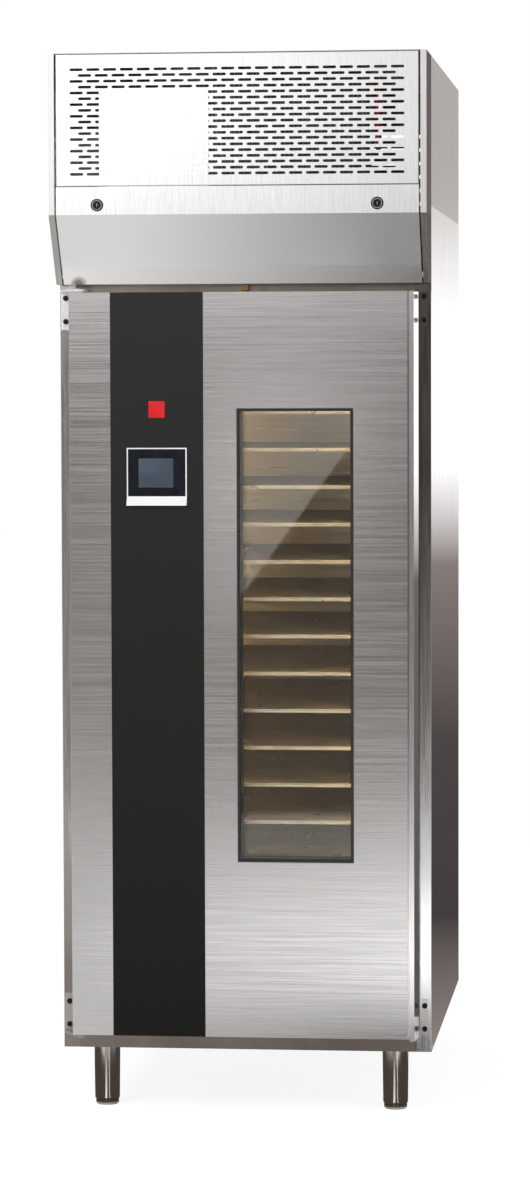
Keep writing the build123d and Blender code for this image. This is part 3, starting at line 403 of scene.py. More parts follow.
polished_steel = worn_metal("polished_steel", (0.50, 0.47, 0.44), (0.60, 0.58, 0.56),
                            tone=((1, 1, 0.05), 500.0, 3.0),
                            rough=((1, 1, 1), 30.0, 3.0, 0.10, 0.18), bump=(0.04, 0.0002))
paint(polished_steel, leg_tubes, "foot_front_left", "foot_front_right", "foot_rear_left",
      "foot_rear_right", "hinge_pins", "hinge_bushes", "flap_pins")
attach(leg_tubes, "cabinet")
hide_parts("legs")


# Hinge brackets, blank plates and their screws
# Thick stainless plates, screwed to the front edges with blackened screws. The brackets on the
# left are polished bright. The blank plates close the right edge, where no hinge is used.

plate_painted_fade = (0.8, 1.0)
front_half = 0.0

plate_steel = worn_metal("plate_steel", (0.34, 0.31, 0.29), (0.46, 0.43, 0.41),
                         tone=((1, 1, 0.4), 45.0, 4.0),
                         rough=((1, 1, 1), 120.0, 3.0, 0.18, 0.30), bump=(0.05, 0.0003))
# Painted reflection: the blank plates fade from light at the foot to dark brown at the top.
paint(painted_reflection_part(plate_steel, "Y", front_half, (0.62, 0.60, 0.58), (0.13, 0.105, 0.095),
                 *plate_painted_fade), "blank_plates")
bright_plate = worn_metal("bright_plate", (0.66, 0.64, 0.62), (0.82, 0.81, 0.80),
                          tone=((1, 1, 0.3), 60.0, 4.0),
                          rough=((1, 1, 1), 120.0, 3.0, 0.18, 0.30), metallic=0.35)
# Painted reflection: the brackets fade from darker at the foot to light at the top.
paint(painted_reflection_part(bright_plate, "Y", front_half, (0.40, 0.37, 0.34), (0.80, 0.79, 0.78),
                 *plate_painted_fade), "hinge_brackets")
black_oxide = worn_metal("black_oxide", (0.016, 0.0155, 0.015), (0.038, 0.037, 0.036),
                         tone=((1, 1, 1), 300.0, 3.0), rough=((1, 1, 1), 500.0, 2.0, 0.20, 0.34))
paint(black_oxide, "frame_screws")


# Cam locks in the fascia
# Turned bodies, blackened, with a nut behind the sheet and a rosette in front. A nickel ring is
# pressed into the rosette, and the plug has an upright nickel key slot.

lock_x = 0.278
lock_segments = 48
lock_bore = 0.00615
lock_barrel = 0.0090
lock_nut = 0.0130
lock_rosette = 0.0125
key_slot_width, key_slot_height = 0.0017, 0.0058
key_slot_corner = 0.0004
key_slot_depths = (0.0019, 0.0005)
plate_corner_steps = 5


def turned_level(section, x, z, segments):
    """Solid of revolution about a level axis from front to back: an upright one whose height is
    read as its depth, and whose depth is read as its height."""
    points, faces = turned(section, x, z, segments)
    return points[:, [0, 2, 1]], faces


def plate_mesh(x0, x1, z0, z1, radius, section):
    """Rounded plate: its outline is carried through (inset, y) pairs and closed at both ends."""
    outline, outward = rounded_rectangle(x0, x1, z0, z1, radius, plate_corner_steps)
    inset, y = np.array(section).T
    flat = outline[None] - inset[:, None, None] * outward[None]
    depth = np.broadcast_to(y[:, None], flat.shape[:2])
    points = np.stack([flat[..., 0], depth, flat[..., 1]], -1).reshape(-1, 3)
    around = len(outline)
    faces = ring_faces(len(y), around)
    faces += [list(range(around)), list(range(len(points) - around, len(points)))[::-1]]
    return points, faces


low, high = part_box("lock_housings")
face, rear = low.y, high.y
lock_z = (low.z + high.z) / 2
body_section = [(lock_bore, rear), (lock_barrel, rear)]
body_section += [(radius, face + depth) for radius, depth in (
    (lock_barrel, 0.0082), (lock_nut, 0.0082), (lock_nut, 0.0042), (lock_barrel, 0.0042),
    (lock_barrel, 0.0030), (lock_rosette, 0.0030), (lock_rosette, 0.0012), (0.0117, 0.0002),
    (0.0104, 0.0002), (0.0102, 0.0010), (0.0080, 0.0010), (0.0078, 0.0004), (lock_bore, 0.0004))]
ring_section = [(radius, face + depth) for radius, depth in (
    (0.0101, 0.0011), (0.0101, 0.0002), (0.0098, 0.0), (0.0084, 0.0), (0.0081, 0.0002),
    (0.0081, 0.0011))]
lock_bodies, lock_rings = [
    new_piece(name, *stacked([turned_level(section, x, lock_z, lock_segments)
                              for x in (-lock_x, lock_x)]))
    for name, section in (("lock_bodies", body_section), ("lock_rings", ring_section))]

lock_nickel = worn_metal("lock_nickel", (0.28, 0.28, 0.29), (0.42, 0.42, 0.43),
                         tone=((1, 1, 1), 260.0, 3.0),
                         rough=((1, 1, 1), 500.0, 2.0, 0.22, 0.36), bump=(0.08, 0.0002))
paint(black_oxide, lock_bodies, "lock_plug_left", "lock_plug_right")
paint(lock_nickel, lock_rings)
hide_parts("lock_housings")
for piece in (lock_bodies, lock_rings):
    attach(piece, "flap")
for side, x in (("left", -lock_x), ("right", lock_x)):
    key_slot = new_piece("key_slot_" + side, *plate_mesh(
        x - key_slot_width / 2, x + key_slot_width / 2,
        lock_z - key_slot_height / 2, lock_z + key_slot_height / 2,
        key_slot_corner, [(0.0, face + depth) for depth in key_slot_depths]))
    paint(lock_nickel, key_slot)
    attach(key_slot, "lock_" + side)


# Hood: cheeks, sides and top
# Stainless covers round the machine compartment. The cheeks are bent posts at both ends of the
# front, and the sides are satin sheets that butt against them.

cheek_bend = 1.812
cheek_foot = 1.60

hood_side_steel = ground_steel("hood_side_steel", upright_grain,
                               dark=(0.42, 0.40, 0.385), light=(0.53, 0.51, 0.50),
                               rough=(0.30, 0.40), scale=420, depth=0.05)
paint(hood_side_steel, "hood_sides", "hood_top")
# The right cheek is painted lighter than the left, as painted light, and below the bend both are
# painted darker, as a painted reflection.
for side, dark, light in (("left", (0.55, 0.545, 0.54), (0.65, 0.647, 0.645)),
                          ("right", (0.64, 0.63, 0.62), (0.74, 0.735, 0.73))):
    cheek_steel = ground_steel("cheek_steel_" + side, upright_grain, dark, light,
                               rough=(0.15, 0.22), scale=420, depth=0.04)
    paint(painted_reflection_part(cheek_steel, "Z", cheek_bend, (0.40, 0.385, 0.37), (0.42, 0.405, 0.39),
                     cheek_foot, cheek_bend), "hood_cheek_" + side)


# Slotted grille
# One punched and folded sheet in front of the condenser: rows of round-ended slots, every second
# row set over by half a pitch, with a rolled edge folded back all round.

slot_rows = 19
slots_per_row = 20
slot_half_length = 0.0133
slot_half_height = 0.00275
slot_pitch = 0.0335
row_pitch = 0.01143
first_row = 0.024
grille_sheet = 0.0012
grille_bend = 0.0018
grille_return = 0.014
cap_steps = 6
cell_border = 6


def slot_cell(x, z):
    """Points in X and Z of one cell: 6 on its border, at half-pitch steps, then the slot's
    outline as two half circles, clockwise from the top of the left one."""
    w, h = slot_pitch / 2, row_pitch / 2
    border = np.array([(-w, h), (0, h), (w, h), (w, -h), (0, -h), (-w, -h)])
    turn = np.linspace(0, pi, cap_steps + 1)
    reach, r = slot_half_length - slot_half_height, slot_half_height
    left = np.stack([-reach - r * np.sin(turn), r * np.cos(turn)], 1)
    right = np.stack([reach + r * np.sin(turn), -r * np.cos(turn)], 1)
    return np.concatenate([border, left, right]) + np.array([x, z])


def cell_faces():
    """Faces between a cell's border and its slot: fans at the four corners and wedges between."""
    left = [cell_border + n for n in range(cap_steps + 1)]
    right = [cell_border + cap_steps + 1 + n for n in range(cap_steps + 1)]
    half = cap_steps // 2
    faces = []
    for cap, first_corner, last_corner in ((left, 0, 5), (right, 3, 2)):
        faces += [[first_corner, cap[n + 1], cap[n]] for n in range(half)]
        faces += [[first_corner, last_corner, cap[half]]]
        faces += [[last_corner, cap[n + 1], cap[n]] for n in range(half, cap_steps)]
    faces += [[0, left[0], 1], [1, left[0], right[-1]], [1, right[-1], 2]]
    faces += [[5, 4, left[-1]], [4, right[0], left[-1]], [4, 3, right[0]]]
    return faces


def grid_faces(columns, rows, keep):
    """Quads of a grid, X running first, for the cells where keep is true."""
    index = np.arange(columns * rows).reshape(rows, columns)
    quads = np.stack([index[:-1, :-1], index[:-1, 1:], index[1:, 1:], index[1:, :-1]], -1)
    return quads[keep].tolist()


def grille_mesh(x_half, z_low, z_high, y_front, y_back):
    """Front and back skins of slotted cells in a plain margin, the slots' walls between them, and
    the folded edge as the outline carried round a section of (inset, depth) pairs."""
    steps = 2 * slots_per_row
    xs = np.linspace(-steps / 2, steps / 2, steps + 1) * slot_pitch / 2
    zs = z_low + first_row + (np.arange(slot_rows + 1) - 0.5) * row_pitch
    columns = np.concatenate([[-x_half + grille_bend], xs, [x_half - grille_bend]])
    rows = np.concatenate([[z_low + grille_bend], zs, [z_high - grille_bend]])
    gx, gz = np.meshgrid(columns, rows)
    margin = np.zeros((len(rows) - 1, len(columns) - 1), bool)
    margin[[0, -1]] = True
    margin[:, [0, -1]] = True
    margin[2:-1:2, [1, -2]] = True
    parts = []
    for y in (y_front, y_front + grille_sheet):
        skin = np.stack([gx, np.full_like(gx, y), gz], -1).reshape(-1, 3)
        parts.append((skin, grid_faces(len(columns), len(rows), margin)))
    around = 2 * (cap_steps + 1)
    for row in range(slot_rows):
        count = slots_per_row - row % 2
        for n in range(count):
            flat = slot_cell((n - (count - 1) / 2) * slot_pitch,
                             z_low + first_row + row * row_pitch)
            sides = [np.stack([flat[:, 0], np.full(len(flat), y), flat[:, 1]], -1)
                     for y in (y_front, y_front + grille_sheet)]
            back = [[v + len(flat) for v in face] for face in cell_faces()]
            rim = np.arange(cell_border, cell_border + around)
            walls = np.stack([rim, np.roll(rim, -1), np.roll(rim, -1) + len(flat),
                              rim + len(flat)], -1)
            parts.append((np.concatenate(sides), cell_faces() + back + walls.tolist()))
    edge_x = np.concatenate([[-x_half], xs, [x_half]])
    bottom = [(x, z_low, np.sign(x) * (abs(x) == x_half), -1) for x in edge_x]
    right = [(x_half, z, 1, 0) for z in zs]
    top = [(x, z_high, sx, 1) for x, z, sx, sz in bottom[::-1]]
    left = [(-x_half, z, -1, 0) for z in zs[::-1]]
    outline = np.array(bottom + right + top + left)
    bend = np.linspace(0, pi / 2, 5)
    inner = grille_bend - grille_sheet
    section = [(grille_bend - grille_bend * np.sin(a), grille_bend - grille_bend * np.cos(a))
               for a in bend]
    section += [(0, y_back - y_front), (grille_sheet, y_back - y_front)]
    section += [(grille_sheet + inner - inner * np.sin(a), grille_sheet + inner - inner * np.cos(a))
                for a in bend[::-1]]
    inset, depth = np.array(section).T
    points = np.stack([outline[None, :, 0] - inset[:, None] * outline[None, :, 2],
                       np.broadcast_to(y_front + depth[:, None], (len(section), len(outline))),
                       outline[None, :, 1] - inset[:, None] * outline[None, :, 3]], -1)
    parts.append((points.reshape(-1, 3), ring_faces(len(section), len(outline))))
    return stacked(parts)


low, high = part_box("perforated_panel")
grille = new_piece("grille_sheet", *grille_mesh(high.x, low.z, high.z, low.y, low.y + grille_return),
                   sharp=8)

front_steel = ground_steel("front_steel", upright_grain,
                           dark=(0.74, 0.735, 0.73), light=(0.83, 0.828, 0.825),
                           rough=(0.17, 0.24), scale=800, depth=0.03)
paint(front_steel, grille, "fascia_flap")
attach(grille, "cabinet")
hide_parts("perforated_panel")


# Condenser, fans, compressor and control box
# The refrigeration set on the roof: an aluminium fin block in a galvanised shroud, a black fan
# and compressor, brazed copper pipes, and a white box for the electrics.

coil_metal = ground_steel("coil_metal", upright_grain,
                          dark=(0.10, 0.10, 0.105), light=(0.28, 0.28, 0.29),
                          rough=(0.35, 0.50), scale=200, depth=0.2)
paint(coil_metal, "condenser_coil", "evaporator")

galvanised, tree, shader = material_of("galvanised")
shader.inputs["Metallic"].default_value = 0.9
coordinates = tree.nodes.new("ShaderNodeTexCoord")
spangle = tree.nodes.new("ShaderNodeTexVoronoi")
spangle.inputs["Scale"].default_value = 90
tree.links.new(coordinates.outputs["Object"], spangle.inputs["Vector"])
tree.links.new(two_tones(tree, spangle.outputs["Color"], (0.40, 0.41, 0.43), (0.60, 0.62, 0.64)),
               shader.inputs["Base Color"])
tree.links.new(scratches(tree, (1, 1, 1), 80.0, 2.0, 0.35, 0.5), shader.inputs["Roughness"])
paint(galvanised, "condenser_shroud")


def enamel(name, dark, light, rough, grain=700.0, depth=0.12):
    """Sprayed paint or moulded plastic: orange-peel relief and a slight drift in tone."""
    material, tree, shader = material_of(name)
    drift = scratches(tree, (1, 1, 1), 14.0, 3.0)
    tree.links.new(two_tones(tree, drift, dark, light), shader.inputs["Base Color"])
    tree.links.new(scratches(tree, (1, 1, 1), 60.0, 3.0, *rough), shader.inputs["Roughness"])
    relief(tree, shader, scratches(tree, (1, 1, 1), grain, 2.0), depth, 0.0004)
    return material


black_enamel = enamel("black_enamel", (0.012, 0.012, 0.013), (0.03, 0.03, 0.032), (0.32, 0.45))
paint(black_enamel, "condenser_motor", "circulation_motor", "compressor")
black_moulding = enamel("black_moulding", (0.014, 0.014, 0.015), (0.028, 0.028, 0.03), (0.45, 0.6))
paint(black_moulding, "condenser_fan", "cable_gland", "window_frame")
white_enamel = enamel("white_enamel", (0.80, 0.80, 0.79), (0.88, 0.88, 0.87), (0.35, 0.5))
paint(white_enamel, "control_box")
copper = worn_metal("copper", (0.42, 0.20, 0.12), (0.72, 0.38, 0.25),
                    tone=((1, 1, 1), 35.0, 4.0), rough=((1, 1, 1), 90.0, 3.0, 0.22, 0.42))
paint(copper, "refrigerant_pipes")


# Sleeve on the discharge riser
# A ribbed red plastic sleeve pushed over the hot pipe that rises at the right end of the
# condenser, between the pipe's two bends.

pipe_radius = 0.005
pipe_bend = 0.015
riser_length = 0.150
sleeve_wall = 0.0016
sleeve_ribs = 12
rib_height = 0.0006
sleeve_segments = 20

low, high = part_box("refrigerant_pipes")
sleeve_top = high.z - pipe_radius - pipe_bend
sleeve_bottom = high.z - pipe_radius - riser_length + pipe_bend
heights = np.linspace(sleeve_bottom, sleeve_top, sleeve_ribs * 4 + 1)
waves = rib_height * (1 - np.cos(2 * pi * np.arange(len(heights)) / 4)) / 2
outer = pipe_radius + sleeve_wall + waves
section = [(pipe_radius, sleeve_top), *zip(outer[::-1], heights[::-1]), (pipe_radius, sleeve_bottom)]
sleeve = new_piece("riser_sleeve", *turned(section, high.x - pipe_radius, low.y + pipe_radius,
                                           sleeve_segments))
sleeve_red = enamel("sleeve_red", (0.50, 0.01, 0.02), (0.66, 0.02, 0.04), (0.35, 0.5), 300.0, 0.1)
paint(sleeve_red, sleeve)
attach(sleeve, "cabinet")


# Door switch
# A small rounded switch of tarnished brass, fixed to the header over the middle of the door. It
# stops the fan when the door opens.

brass = worn_metal("brass", (0.20, 0.115, 0.055), (0.34, 0.21, 0.11),
                   tone=((1, 1, 1), 220.0, 3.0), rough=((1, 1, 1), 400.0, 2.0, 0.22, 0.38))
paint(brass, "door_switch")


# Door sheets and folded grip
# The outer pan is brushed across, so its lines run level. The grip is folded from the same sheet
# with its grain upright.

level_grain = (0.012, 1.0, 1.0)

door_steel = ground_steel("door_steel", level_grain,
                          dark=(0.555, 0.54, 0.525), light=(0.64, 0.63, 0.62),
                          rough=(0.14, 0.24), scale=520, depth=0.05)
paint(door_steel, "door_skin")
grip_steel = ground_steel("grip_steel", upright_grain,
                          dark=(0.62, 0.60, 0.59), light=(0.76, 0.75, 0.74),
                          rough=(0.14, 0.20), scale=600, depth=0.04)
paint(grip_steel, "door_grip")


# Door gasket
# Grey extruded rubber, snapped into the inner sheet: a flat foot, two bellows folds and a round
# magnet tube that meets the frame.

gasket_width = 0.012
tube_half_width = 0.005
tube_height = 0.0034
tube_lap = 0.3


def mitred_ring(x0, x1, z0, z1, section):
    """Closed section of (inset, y) pairs carried round a rectangle in X and Z: at each corner
    every pair lies its inset inwards along X and along Z, which mitres the corner."""
    corner = np.array([(x0, z0, -1, -1), (x1, z0, 1, -1), (x1, z1, 1, 1), (x0, z1, -1, 1)], float)
    inset, y = np.array(section).T
    points = np.stack([corner[None, :, 0] - inset[:, None] * corner[None, :, 2],
                       np.broadcast_to(y[:, None], (len(y), 4)),
                       corner[None, :, 1] - inset[:, None] * corner[None, :, 3]], -1)
    return points.reshape(-1, 3), ring_faces(len(y), 4, close=True)


low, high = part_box("door_gasket")
near, far = low.y, high.y
outer_fold = [(inset, near + depth) for inset, depth in (
    (0.0, 0.0), (0.0, 0.0015), (0.0035, 0.003), (0.0008, 0.006), (0.0035, 0.009),
    (0.0008, 0.0115), (0.0022, 0.0135))]
tube = [(gasket_width / 2 - tube_half_width * np.cos(a), far - tube_height + tube_height * np.sin(a))
        for a in np.linspace(-tube_lap, pi + tube_lap, 13)]
inner_fold = [(gasket_width - inset, y) for inset, y in outer_fold[::-1]]
seal = new_piece("seal_bellows", *mitred_ring(low.x, high.x, low.z, high.z,
                                              outer_fold + tube + inner_fold), sharp=50)

seal_rubber = enamel("seal_rubber", (0.035, 0.035, 0.036), (0.07, 0.07, 0.071), (0.55, 0.7),
                     400.0, 0.2)
paint(seal_rubber, seal)
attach(seal, "door")
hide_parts("door_gasket")


# Window
# Two panes of clear glass in an insulating frame. A thin bright trim is pressed round a
# half-round black rubber bead that seals the outer pane.

trim_past_left, trim_past_right, trim_past_top = 0.0035, 0.0020, 0.0025
trim_width = 0.0013
bead_width = 0.0057
bead_height = 0.0011

low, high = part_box("window_trim")
glass_face = high.y
trim_edge = (low.x - trim_past_left, high.x + trim_past_right, low.z, high.z + trim_past_top)
trim_section = [(inset, glass_face - height) for inset, height in (
    (0.0, 0.0), (0.0, 0.0006), (0.0003, 0.0009), (0.0010, 0.0009), (trim_width, 0.0006),
    (trim_width, 0.0))]
trim_strip = new_piece("window_trim_strip", *mitred_ring(*trim_edge, trim_section))
paint(polished_steel, trim_strip)
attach(trim_strip, "door")
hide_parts("window_trim")

bead_section = [(trim_width + bead_width / 2 - bead_width / 2 * np.cos(a),
                 glass_face - bead_height * np.sin(a)) for a in np.linspace(0, pi, 9)]
window_bead = new_piece("window_bead", *mitred_ring(*trim_edge, bead_section))
bead_rubber = enamel("bead_rubber", (0.006, 0.006, 0.006), (0.014, 0.014, 0.014), (0.4, 0.55),
                     500.0, 0.15)
paint(bead_rubber, window_bead)
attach(window_bead, "door")

clear_glass, tree, shader = material_of("clear_glass")
film = scratches(tree, (1, 1, 0.3), 18.0, 4.0)
tree.links.new(two_tones(tree, film, (0.965, 0.955, 0.915), (0.98, 0.97, 0.935)),
               shader.inputs["Base Color"])
shader.inputs["Transmission Weight"].default_value = 1.0
shader.inputs["IOR"].default_value = 1.45
shader.inputs["Roughness"].default_value = 0.0
paint(clear_glass, "window_glass")


# Black panel
# A full-height strip of black coated sheet, fixed flat on the door to the left of the window. Its
# colour is painted a little lighter towards the top, as a painted reflection.

black_sheet = enamel("black_sheet", (0.010, 0.0095, 0.009), (0.016, 0.015, 0.0145), (0.34, 0.46),
                     500.0, 0.1)
black_sheet.node_tree.nodes["Principled BSDF"].inputs["Specular IOR Level"].default_value = 0.2
# Painted reflection: the colour goes from darker at the foot to lighter at the top.
painted_reflection_part(black_sheet, "Y", front_half, (0.0050, 0.0045, 0.0042), (0.019, 0.0185, 0.018), 0.2, 1.7)
paint(black_sheet, "black_panel")


# Touch controller
# A slim silver plastic frame with a sloping lip below, fixed to the black panel and filled by a
# sheet of dark glass. The display shows through the glass as a blue-grey field.

frame_low = 1.251
frame_front = -0.4935
frame_line = 0.0024
glass_corner = 0.001
glass_front = frame_front - 0.0005
display_x = (-0.205, -0.135)
display_z = (1.271, 1.329)
display_corner = 0.0015
display_thickness = 0.0003


def smooth_glass(name, dark, light, tone, rough, specular):
    """Coloured glass, opaque, with smears in its tone and gloss."""
    material, tree, shader = material_of(name)
    tree.links.new(two_tones(tree, scratches(tree, *tone), dark, light), shader.inputs["Base Color"])
    tree.links.new(scratches(tree, (1, 1, 0.6), 40.0, 3.0, *rough), shader.inputs["Roughness"])
    shader.inputs["Specular IOR Level"].default_value = specular
    return material


silver_plastic = enamel("silver_plastic", (0.74, 0.74, 0.75), (0.84, 0.84, 0.85), (0.28, 0.4),
                        900.0, 0.05)
paint(silver_plastic, "controller_bezel")

low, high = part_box("controller_bezel")
touch_glass = new_piece("touch_glass", *plate_mesh(
    low.x + frame_line, high.x - frame_line, frame_low + frame_line, high.z - frame_line,
    glass_corner, [(0.0, frame_front + 0.001), (0.0, frame_front - 0.0003), (0.0002, glass_front)]))
dark_glass = smooth_glass("dark_glass", (0.008, 0.009, 0.012), (0.013, 0.014, 0.018),
                          tone=((1, 1, 0.6), 60.0, 3.0), rough=(0.05, 0.16), specular=0.12)
paint(dark_glass, touch_glass)
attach(touch_glass, "door")
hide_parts("controller_glass")

display = new_piece("display_window", *plate_mesh(
    *display_x, *display_z, display_corner,
    [(0.0, glass_front), (0.0, glass_front - 0.0002), (0.0002, glass_front - display_thickness)]))
display_face = smooth_glass("display_face", (0.045, 0.060, 0.080), (0.062, 0.080, 0.105),
                            tone=((1, 1, 1), 25.0, 2.0), rough=(0.08, 0.2), specular=0.15)
paint(display_face, display)
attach(display, "door")


# Red tile
# A small square of glossy red plastic with a plain domed front, glued to the black panel above
# the controller.

tile_corner = 0.002
tile_edge = 0.0009
tile_round = 0.0016
tile_dome = 0.0008

low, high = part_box("badge_tile")
tile_section = [(0.0, high.y), (0.0, low.y + tile_edge)]
tile_section += [(tile_round - tile_round * np.cos(a), low.y + tile_edge - tile_dome * np.sin(a))
                 for a in np.linspace(0.3, pi / 2, 5)]
tile = new_piece("domed_tile", *plate_mesh(low.x, high.x, low.z, high.z, tile_corner, tile_section))
red_tile = enamel("red_tile", (0.50, 0.004, 0.010), (0.62, 0.008, 0.018), (0.10, 0.2), 200.0, 0.05)
paint(red_tile, tile)
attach(tile, "door")
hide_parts("badge_tile")


# Cards for the metal to reflect
# The camera doesn't see them and they cast no shadow. They stand before and behind the object,
# lie on the floor and stand close to a few edges, and give its sheets their bright and dark bands.

def stage_card(name, corners, tone, glow, last_tone=None, one_sided=False):
    """Flat card through four corners with its glow at each corner. Its last two corners may have
    another tone, and a one-sided card glows only on the side from which its corners run
    anticlockwise."""
    mesh = bpy.data.meshes.new(name)
    mesh.from_pydata(corners, [], [[0, 1, 2, 3]])
    tones = np.array([tone, tone, last_tone or tone, last_tone or tone])
    colours = np.concatenate([tones * np.array(glow)[:, None], np.ones((4, 1))], 1)
    mesh.attributes.new("glow", "FLOAT_COLOR", "POINT").data.foreach_set("color", colours.ravel())
    card = bpy.data.objects.new(name, mesh)
    bpy.context.scene.collection.objects.link(card)
    material = bpy.data.materials.new(name)
    material.use_nodes = True
    tree = material.node_tree
    tree.nodes.remove(tree.nodes["Principled BSDF"])
    level = tree.nodes.new("ShaderNodeAttribute")
    level.attribute_name = "glow"
    light = tree.nodes.new("ShaderNodeEmission")
    tree.links.new(level.outputs["Color"], light.inputs["Color"])
    surface = light.outputs["Emission"]
    if one_sided:
        clear = tree.nodes.new("ShaderNodeBsdfTransparent")
        side = tree.nodes.new("ShaderNodeNewGeometry")
        blend = tree.nodes.new("ShaderNodeMixShader")
        tree.links.new(side.outputs["Backfacing"], blend.inputs["Fac"])
        tree.links.new(surface, blend.inputs[1])
        tree.links.new(clear.outputs["BSDF"], blend.inputs[2])
        surface = blend.outputs["Shader"]
    tree.links.new(surface, tree.nodes["Material Output"].inputs["Surface"])
    mesh.materials.append(material)
    card.visible_camera = False
    card.visible_diffuse = False
    card.visible_shadow = False


def upright_card(name, x, y, z, tone, glow, last_tone=None, one_sided=False):
    """Card across the view. Glow goes from the lower left corner round to the upper left one."""
    corners = [(x[0], y, z[0]), (x[1], y, z[0]), (x[1], y, z[1]), (x[0], y, z[1])]
    stage_card(name, corners, tone, glow, last_tone, one_sided)


def level_card(name, x, y, z, tone, glow):
    """Card parallel to the floor. Glow goes from the front left corner round to the rear left."""
    corners = [(x[0], y[0], z), (x[1], y[0], z), (x[1], y[1], z), (x[0], y[1], z)]
    stage_card(name, corners, tone, glow)


neutral = (1.0, 1.0, 1.0)
warm_dark = (1.0, 0.93, 0.87)
warm_light = (1.0, 0.99, 0.975)
brown = (1.0, 0.80, 0.68)
brown_grey = (1.0, 0.86, 0.83)
rear_tone = (1.0, 0.97, 0.95)

upright_card("front_flag", x=(-3.0, 2.0), y=-6.0, z=(0.0, 1.75), tone=warm_dark,
             glow=(0.44, 0.16, 0.06, 0.31))
upright_card("front_softbox", x=(-2.5, 1.2), y=-5.0, z=(1.85, 3.8), tone=neutral,
             glow=(2.6, 0.35, 0.35, 2.6))
level_card("front_floor_far", x=(-1.2, 1.2), y=(-4.6, -2.4), z=0.003, tone=neutral,
           glow=(0.35, 0.75, 2.8, 0.6))
level_card("front_floor_near", x=(-1.2, 1.2), y=(-2.4, -1.7), z=0.003, tone=neutral,
           glow=(0.6, 2.8, 1.4, 0.5))
level_card("slant_floor", x=(-0.6, 0.35), y=(-1.7, -0.75), z=0.004, tone=warm_light,
           glow=(1.0, 0.05, 0.05, 1.0))
level_card("slant_strip", x=(-0.374, 0.374), y=(-0.495, -0.445), z=1.6615, tone=warm_light,
           glow=(0.97, 0.225, 0.225, 0.97))
level_card("leg_flag", x=(-1.5, 1.5), y=(-0.75, 0.1), z=0.005, tone=brown,
           glow=(0.10, 0.10, 0.10, 0.10))

rear_left, rear_right, softbox_right = 0.38, 4.0, 2.2
for name, right, y, z, tone, below, above, last_tone in (
        ("rear_flag_low", rear_right, 2.5, (0.0, 0.5), brown_grey, 0.06, 0.08, None),
        ("rear_flag_high", rear_right, 2.5, (0.5, 0.98), brown_grey, 0.08, 0.27, None),
        ("rear_fade", rear_right, 2.5, (0.98, 1.28), brown_grey, 0.27, 1.4, neutral),
        ("rear_softbox", softbox_right, 2.6, (1.28, 1.58), neutral, 1.4, 1.4, None),
        ("rear_top_fade", softbox_right, 2.6, (1.58, 1.98), neutral, 1.4, 0.76, rear_tone),
        ("rear_grey", rear_right, 2.7, (1.80, 3.8), rear_tone, 0.75, 0.62, None)):
    upright_card(name, x=(rear_left, right), y=y, z=z, tone=tone,
                 glow=(below, below, above, above), last_tone=last_tone)
level_card("rear_floor_flag", x=(rear_left, rear_right), y=(0.4, 2.5), z=0.004, tone=brown_grey,
           glow=(0.30, 0.30, 0.06, 0.06))

stage_card("glare_card", [(-0.62, -4.9, 0.66), (-0.52, -4.9, 0.784), (-0.02, -4.9, 1.474),
                          (-0.62, -4.9, 1.474)], neutral, (1.25, 1.25, 1.05, 1.05))

low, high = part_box("hood_sides")
upright_card("cheek_card", x=(high.x + 0.0005, 0.60), y=low.y, z=(1.66, 2.40), tone=brown_grey,
             glow=(0.16, 0.16, 0.10, 0.10), one_sided=True)
for name, z, below, above in (("low", (0.20, 1.08), 0.10, 0.16), ("fade", (1.08, 1.30), 0.16, 1.3),
                              ("high", (1.30, 1.66), 1.3, 1.5)):
    upright_card("grip_card_" + name, x=(0.3535, 0.3745), y=-0.4125, z=z, tone=neutral,
                 glow=(below, below, above, above), one_sided=True)


def floor_strip(name, x, y, bearings, reach, glow):
    """Card on the floor in front of a leg, between two bearings and two distances from it, with
    its glow at the near and the far end."""
    corners = [(x + r * np.sin(radians(b)), y - r * np.cos(radians(b)), 0.006)
               for r, b in ((reach[0], bearings[0]), (reach[0], bearings[1]),
                            (reach[1], bearings[1]), (reach[1], bearings[0]))]
    stage_card(name, corners, neutral, (glow[0], glow[0], glow[1], glow[1]))


for name, (x, y), bearing in (("left", leg_places[0], 8.4), ("right", leg_places[2], 4.2)):
    floor_strip("leg_line_" + name, x, y, (bearing + 14.5, bearing + 18), (0.05, 0.85), (1.7, 1.7))
    floor_strip("leg_glow_" + name, x, y, (bearing - 17, bearing - 3), (0.05, 0.55), (1.5, 0.2))


# Floor
# Pale matt paper. It shows white to the camera and keeps a part of the object's shadow.

floor_reach = 30
paper_white = 1.185
paper_share = 0.75

floor_mesh = bpy.data.meshes.new("floor")
floor_mesh.from_pydata([(-floor_reach, -floor_reach, 0), (floor_reach, -floor_reach, 0),
                        (floor_reach, floor_reach, 0), (-floor_reach, floor_reach, 0)],
                       [], [[0, 1, 2, 3]])
floor = bpy.data.objects.new("floor", floor_mesh)
bpy.context.scene.collection.objects.link(floor)
floor_paper, tree, shader = material_of("floor_paper")
shader.inputs["Base Color"].default_value = (0.88, 0.88, 0.88, 1)
shader.inputs["Roughness"].default_value = 0.9
shader.inputs["Specular IOR Level"].default_value = 0.0
path = tree.nodes.new("ShaderNodeLightPath")
white = tree.nodes.new("ShaderNodeEmission")
white.inputs["Strength"].default_value = paper_white
share = tree.nodes.new("ShaderNodeMath")
share.operation = "MULTIPLY"
share.inputs[1].default_value = paper_share
blend = tree.nodes.new("ShaderNodeMixShader")
tree.links.new(path.outputs["Is Camera Ray"], share.inputs[0])
tree.links.new(share.outputs["Value"], blend.inputs["Fac"])
tree.links.new(shader.outputs["BSDF"], blend.inputs[1])
tree.links.new(white.outputs["Emission"], blend.inputs[2])
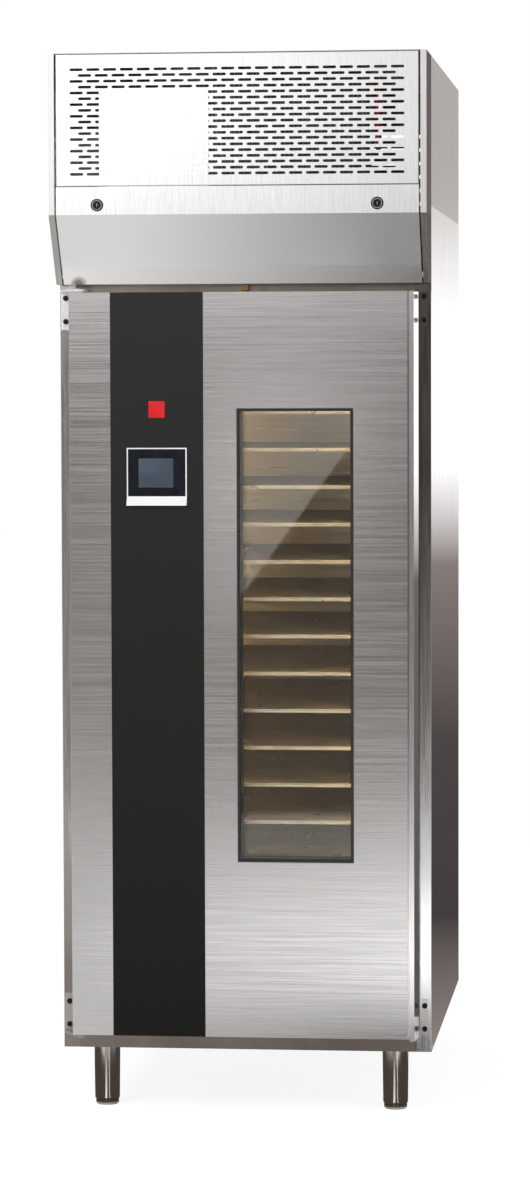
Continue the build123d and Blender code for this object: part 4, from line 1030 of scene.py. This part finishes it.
tree.links.new(blend.outputs["Shader"], tree.nodes["Material Output"].inputs["Surface"])
floor_mesh.materials.append(floor_paper)


# Surroundings and lamps
# White all round for the camera and through glass, and half as strong as light. Two soft lamps
# stand in front, and two small ones light the control box and the chamber.

world_white = 1.0
world_light = 0.5
lamp_warm = (1.0, 0.76, 0.46)

world = bpy.data.worlds.new("studio")
bpy.context.scene.world = world
world.use_nodes = True
tree = world.node_tree
ambient = tree.nodes["Background"]
ambient.inputs["Color"].default_value = (1, 1, 1, 1)
path = tree.nodes.new("ShaderNodeLightPath")
seen = tree.nodes.new("ShaderNodeMath")
seen.operation = "MAXIMUM"
level = tree.nodes.new("ShaderNodeMapRange")
level.inputs["To Min"].default_value = world_light
level.inputs["To Max"].default_value = world_white
tree.links.new(path.outputs["Is Camera Ray"], seen.inputs[0])
tree.links.new(path.outputs["Is Transmission Ray"], seen.inputs[1])
tree.links.new(seen.outputs["Value"], level.inputs["Value"])
tree.links.new(level.outputs["Result"], ambient.inputs["Strength"])


def soft_lamp(name, place, aim, size, power, tone=(1, 1, 1)):
    """Square area lamp at a place, turned towards its aim, and not seen in reflections."""
    data = bpy.data.lights.new(name, "AREA")
    data.shape = "SQUARE"
    data.size = size
    data.energy = power
    data.color = tone
    lamp = bpy.data.objects.new(name, data)
    bpy.context.scene.collection.objects.link(lamp)
    lamp.location = place
    lamp.rotation_euler = (Vector(aim) - Vector(place)).to_track_quat("-Z", "Y").to_euler()
    lamp.visible_camera = False
    lamp.visible_glossy = False


soft_lamp("key_lamp", place=(-3.2, -5.0, 4.2), aim=(0, 0, 1.0), size=2.4, power=220)
soft_lamp("fill_lamp", place=(4.0, -3.0, 2.6), aim=(0, 0, 1.0), size=2.4, power=80)
soft_lamp("box_lamp", place=(-0.185, -0.50, 1.99), aim=(-0.185, -0.39, 1.99), size=0.16, power=0.6)
soft_lamp("chamber_lamp", place=(0.11, -0.405, 1.52), aim=(0.0, 0.2, 0.7), size=0.05, power=5.0,
          tone=lamp_warm)

bpy.context.scene.view_settings.view_transform = "Standard"
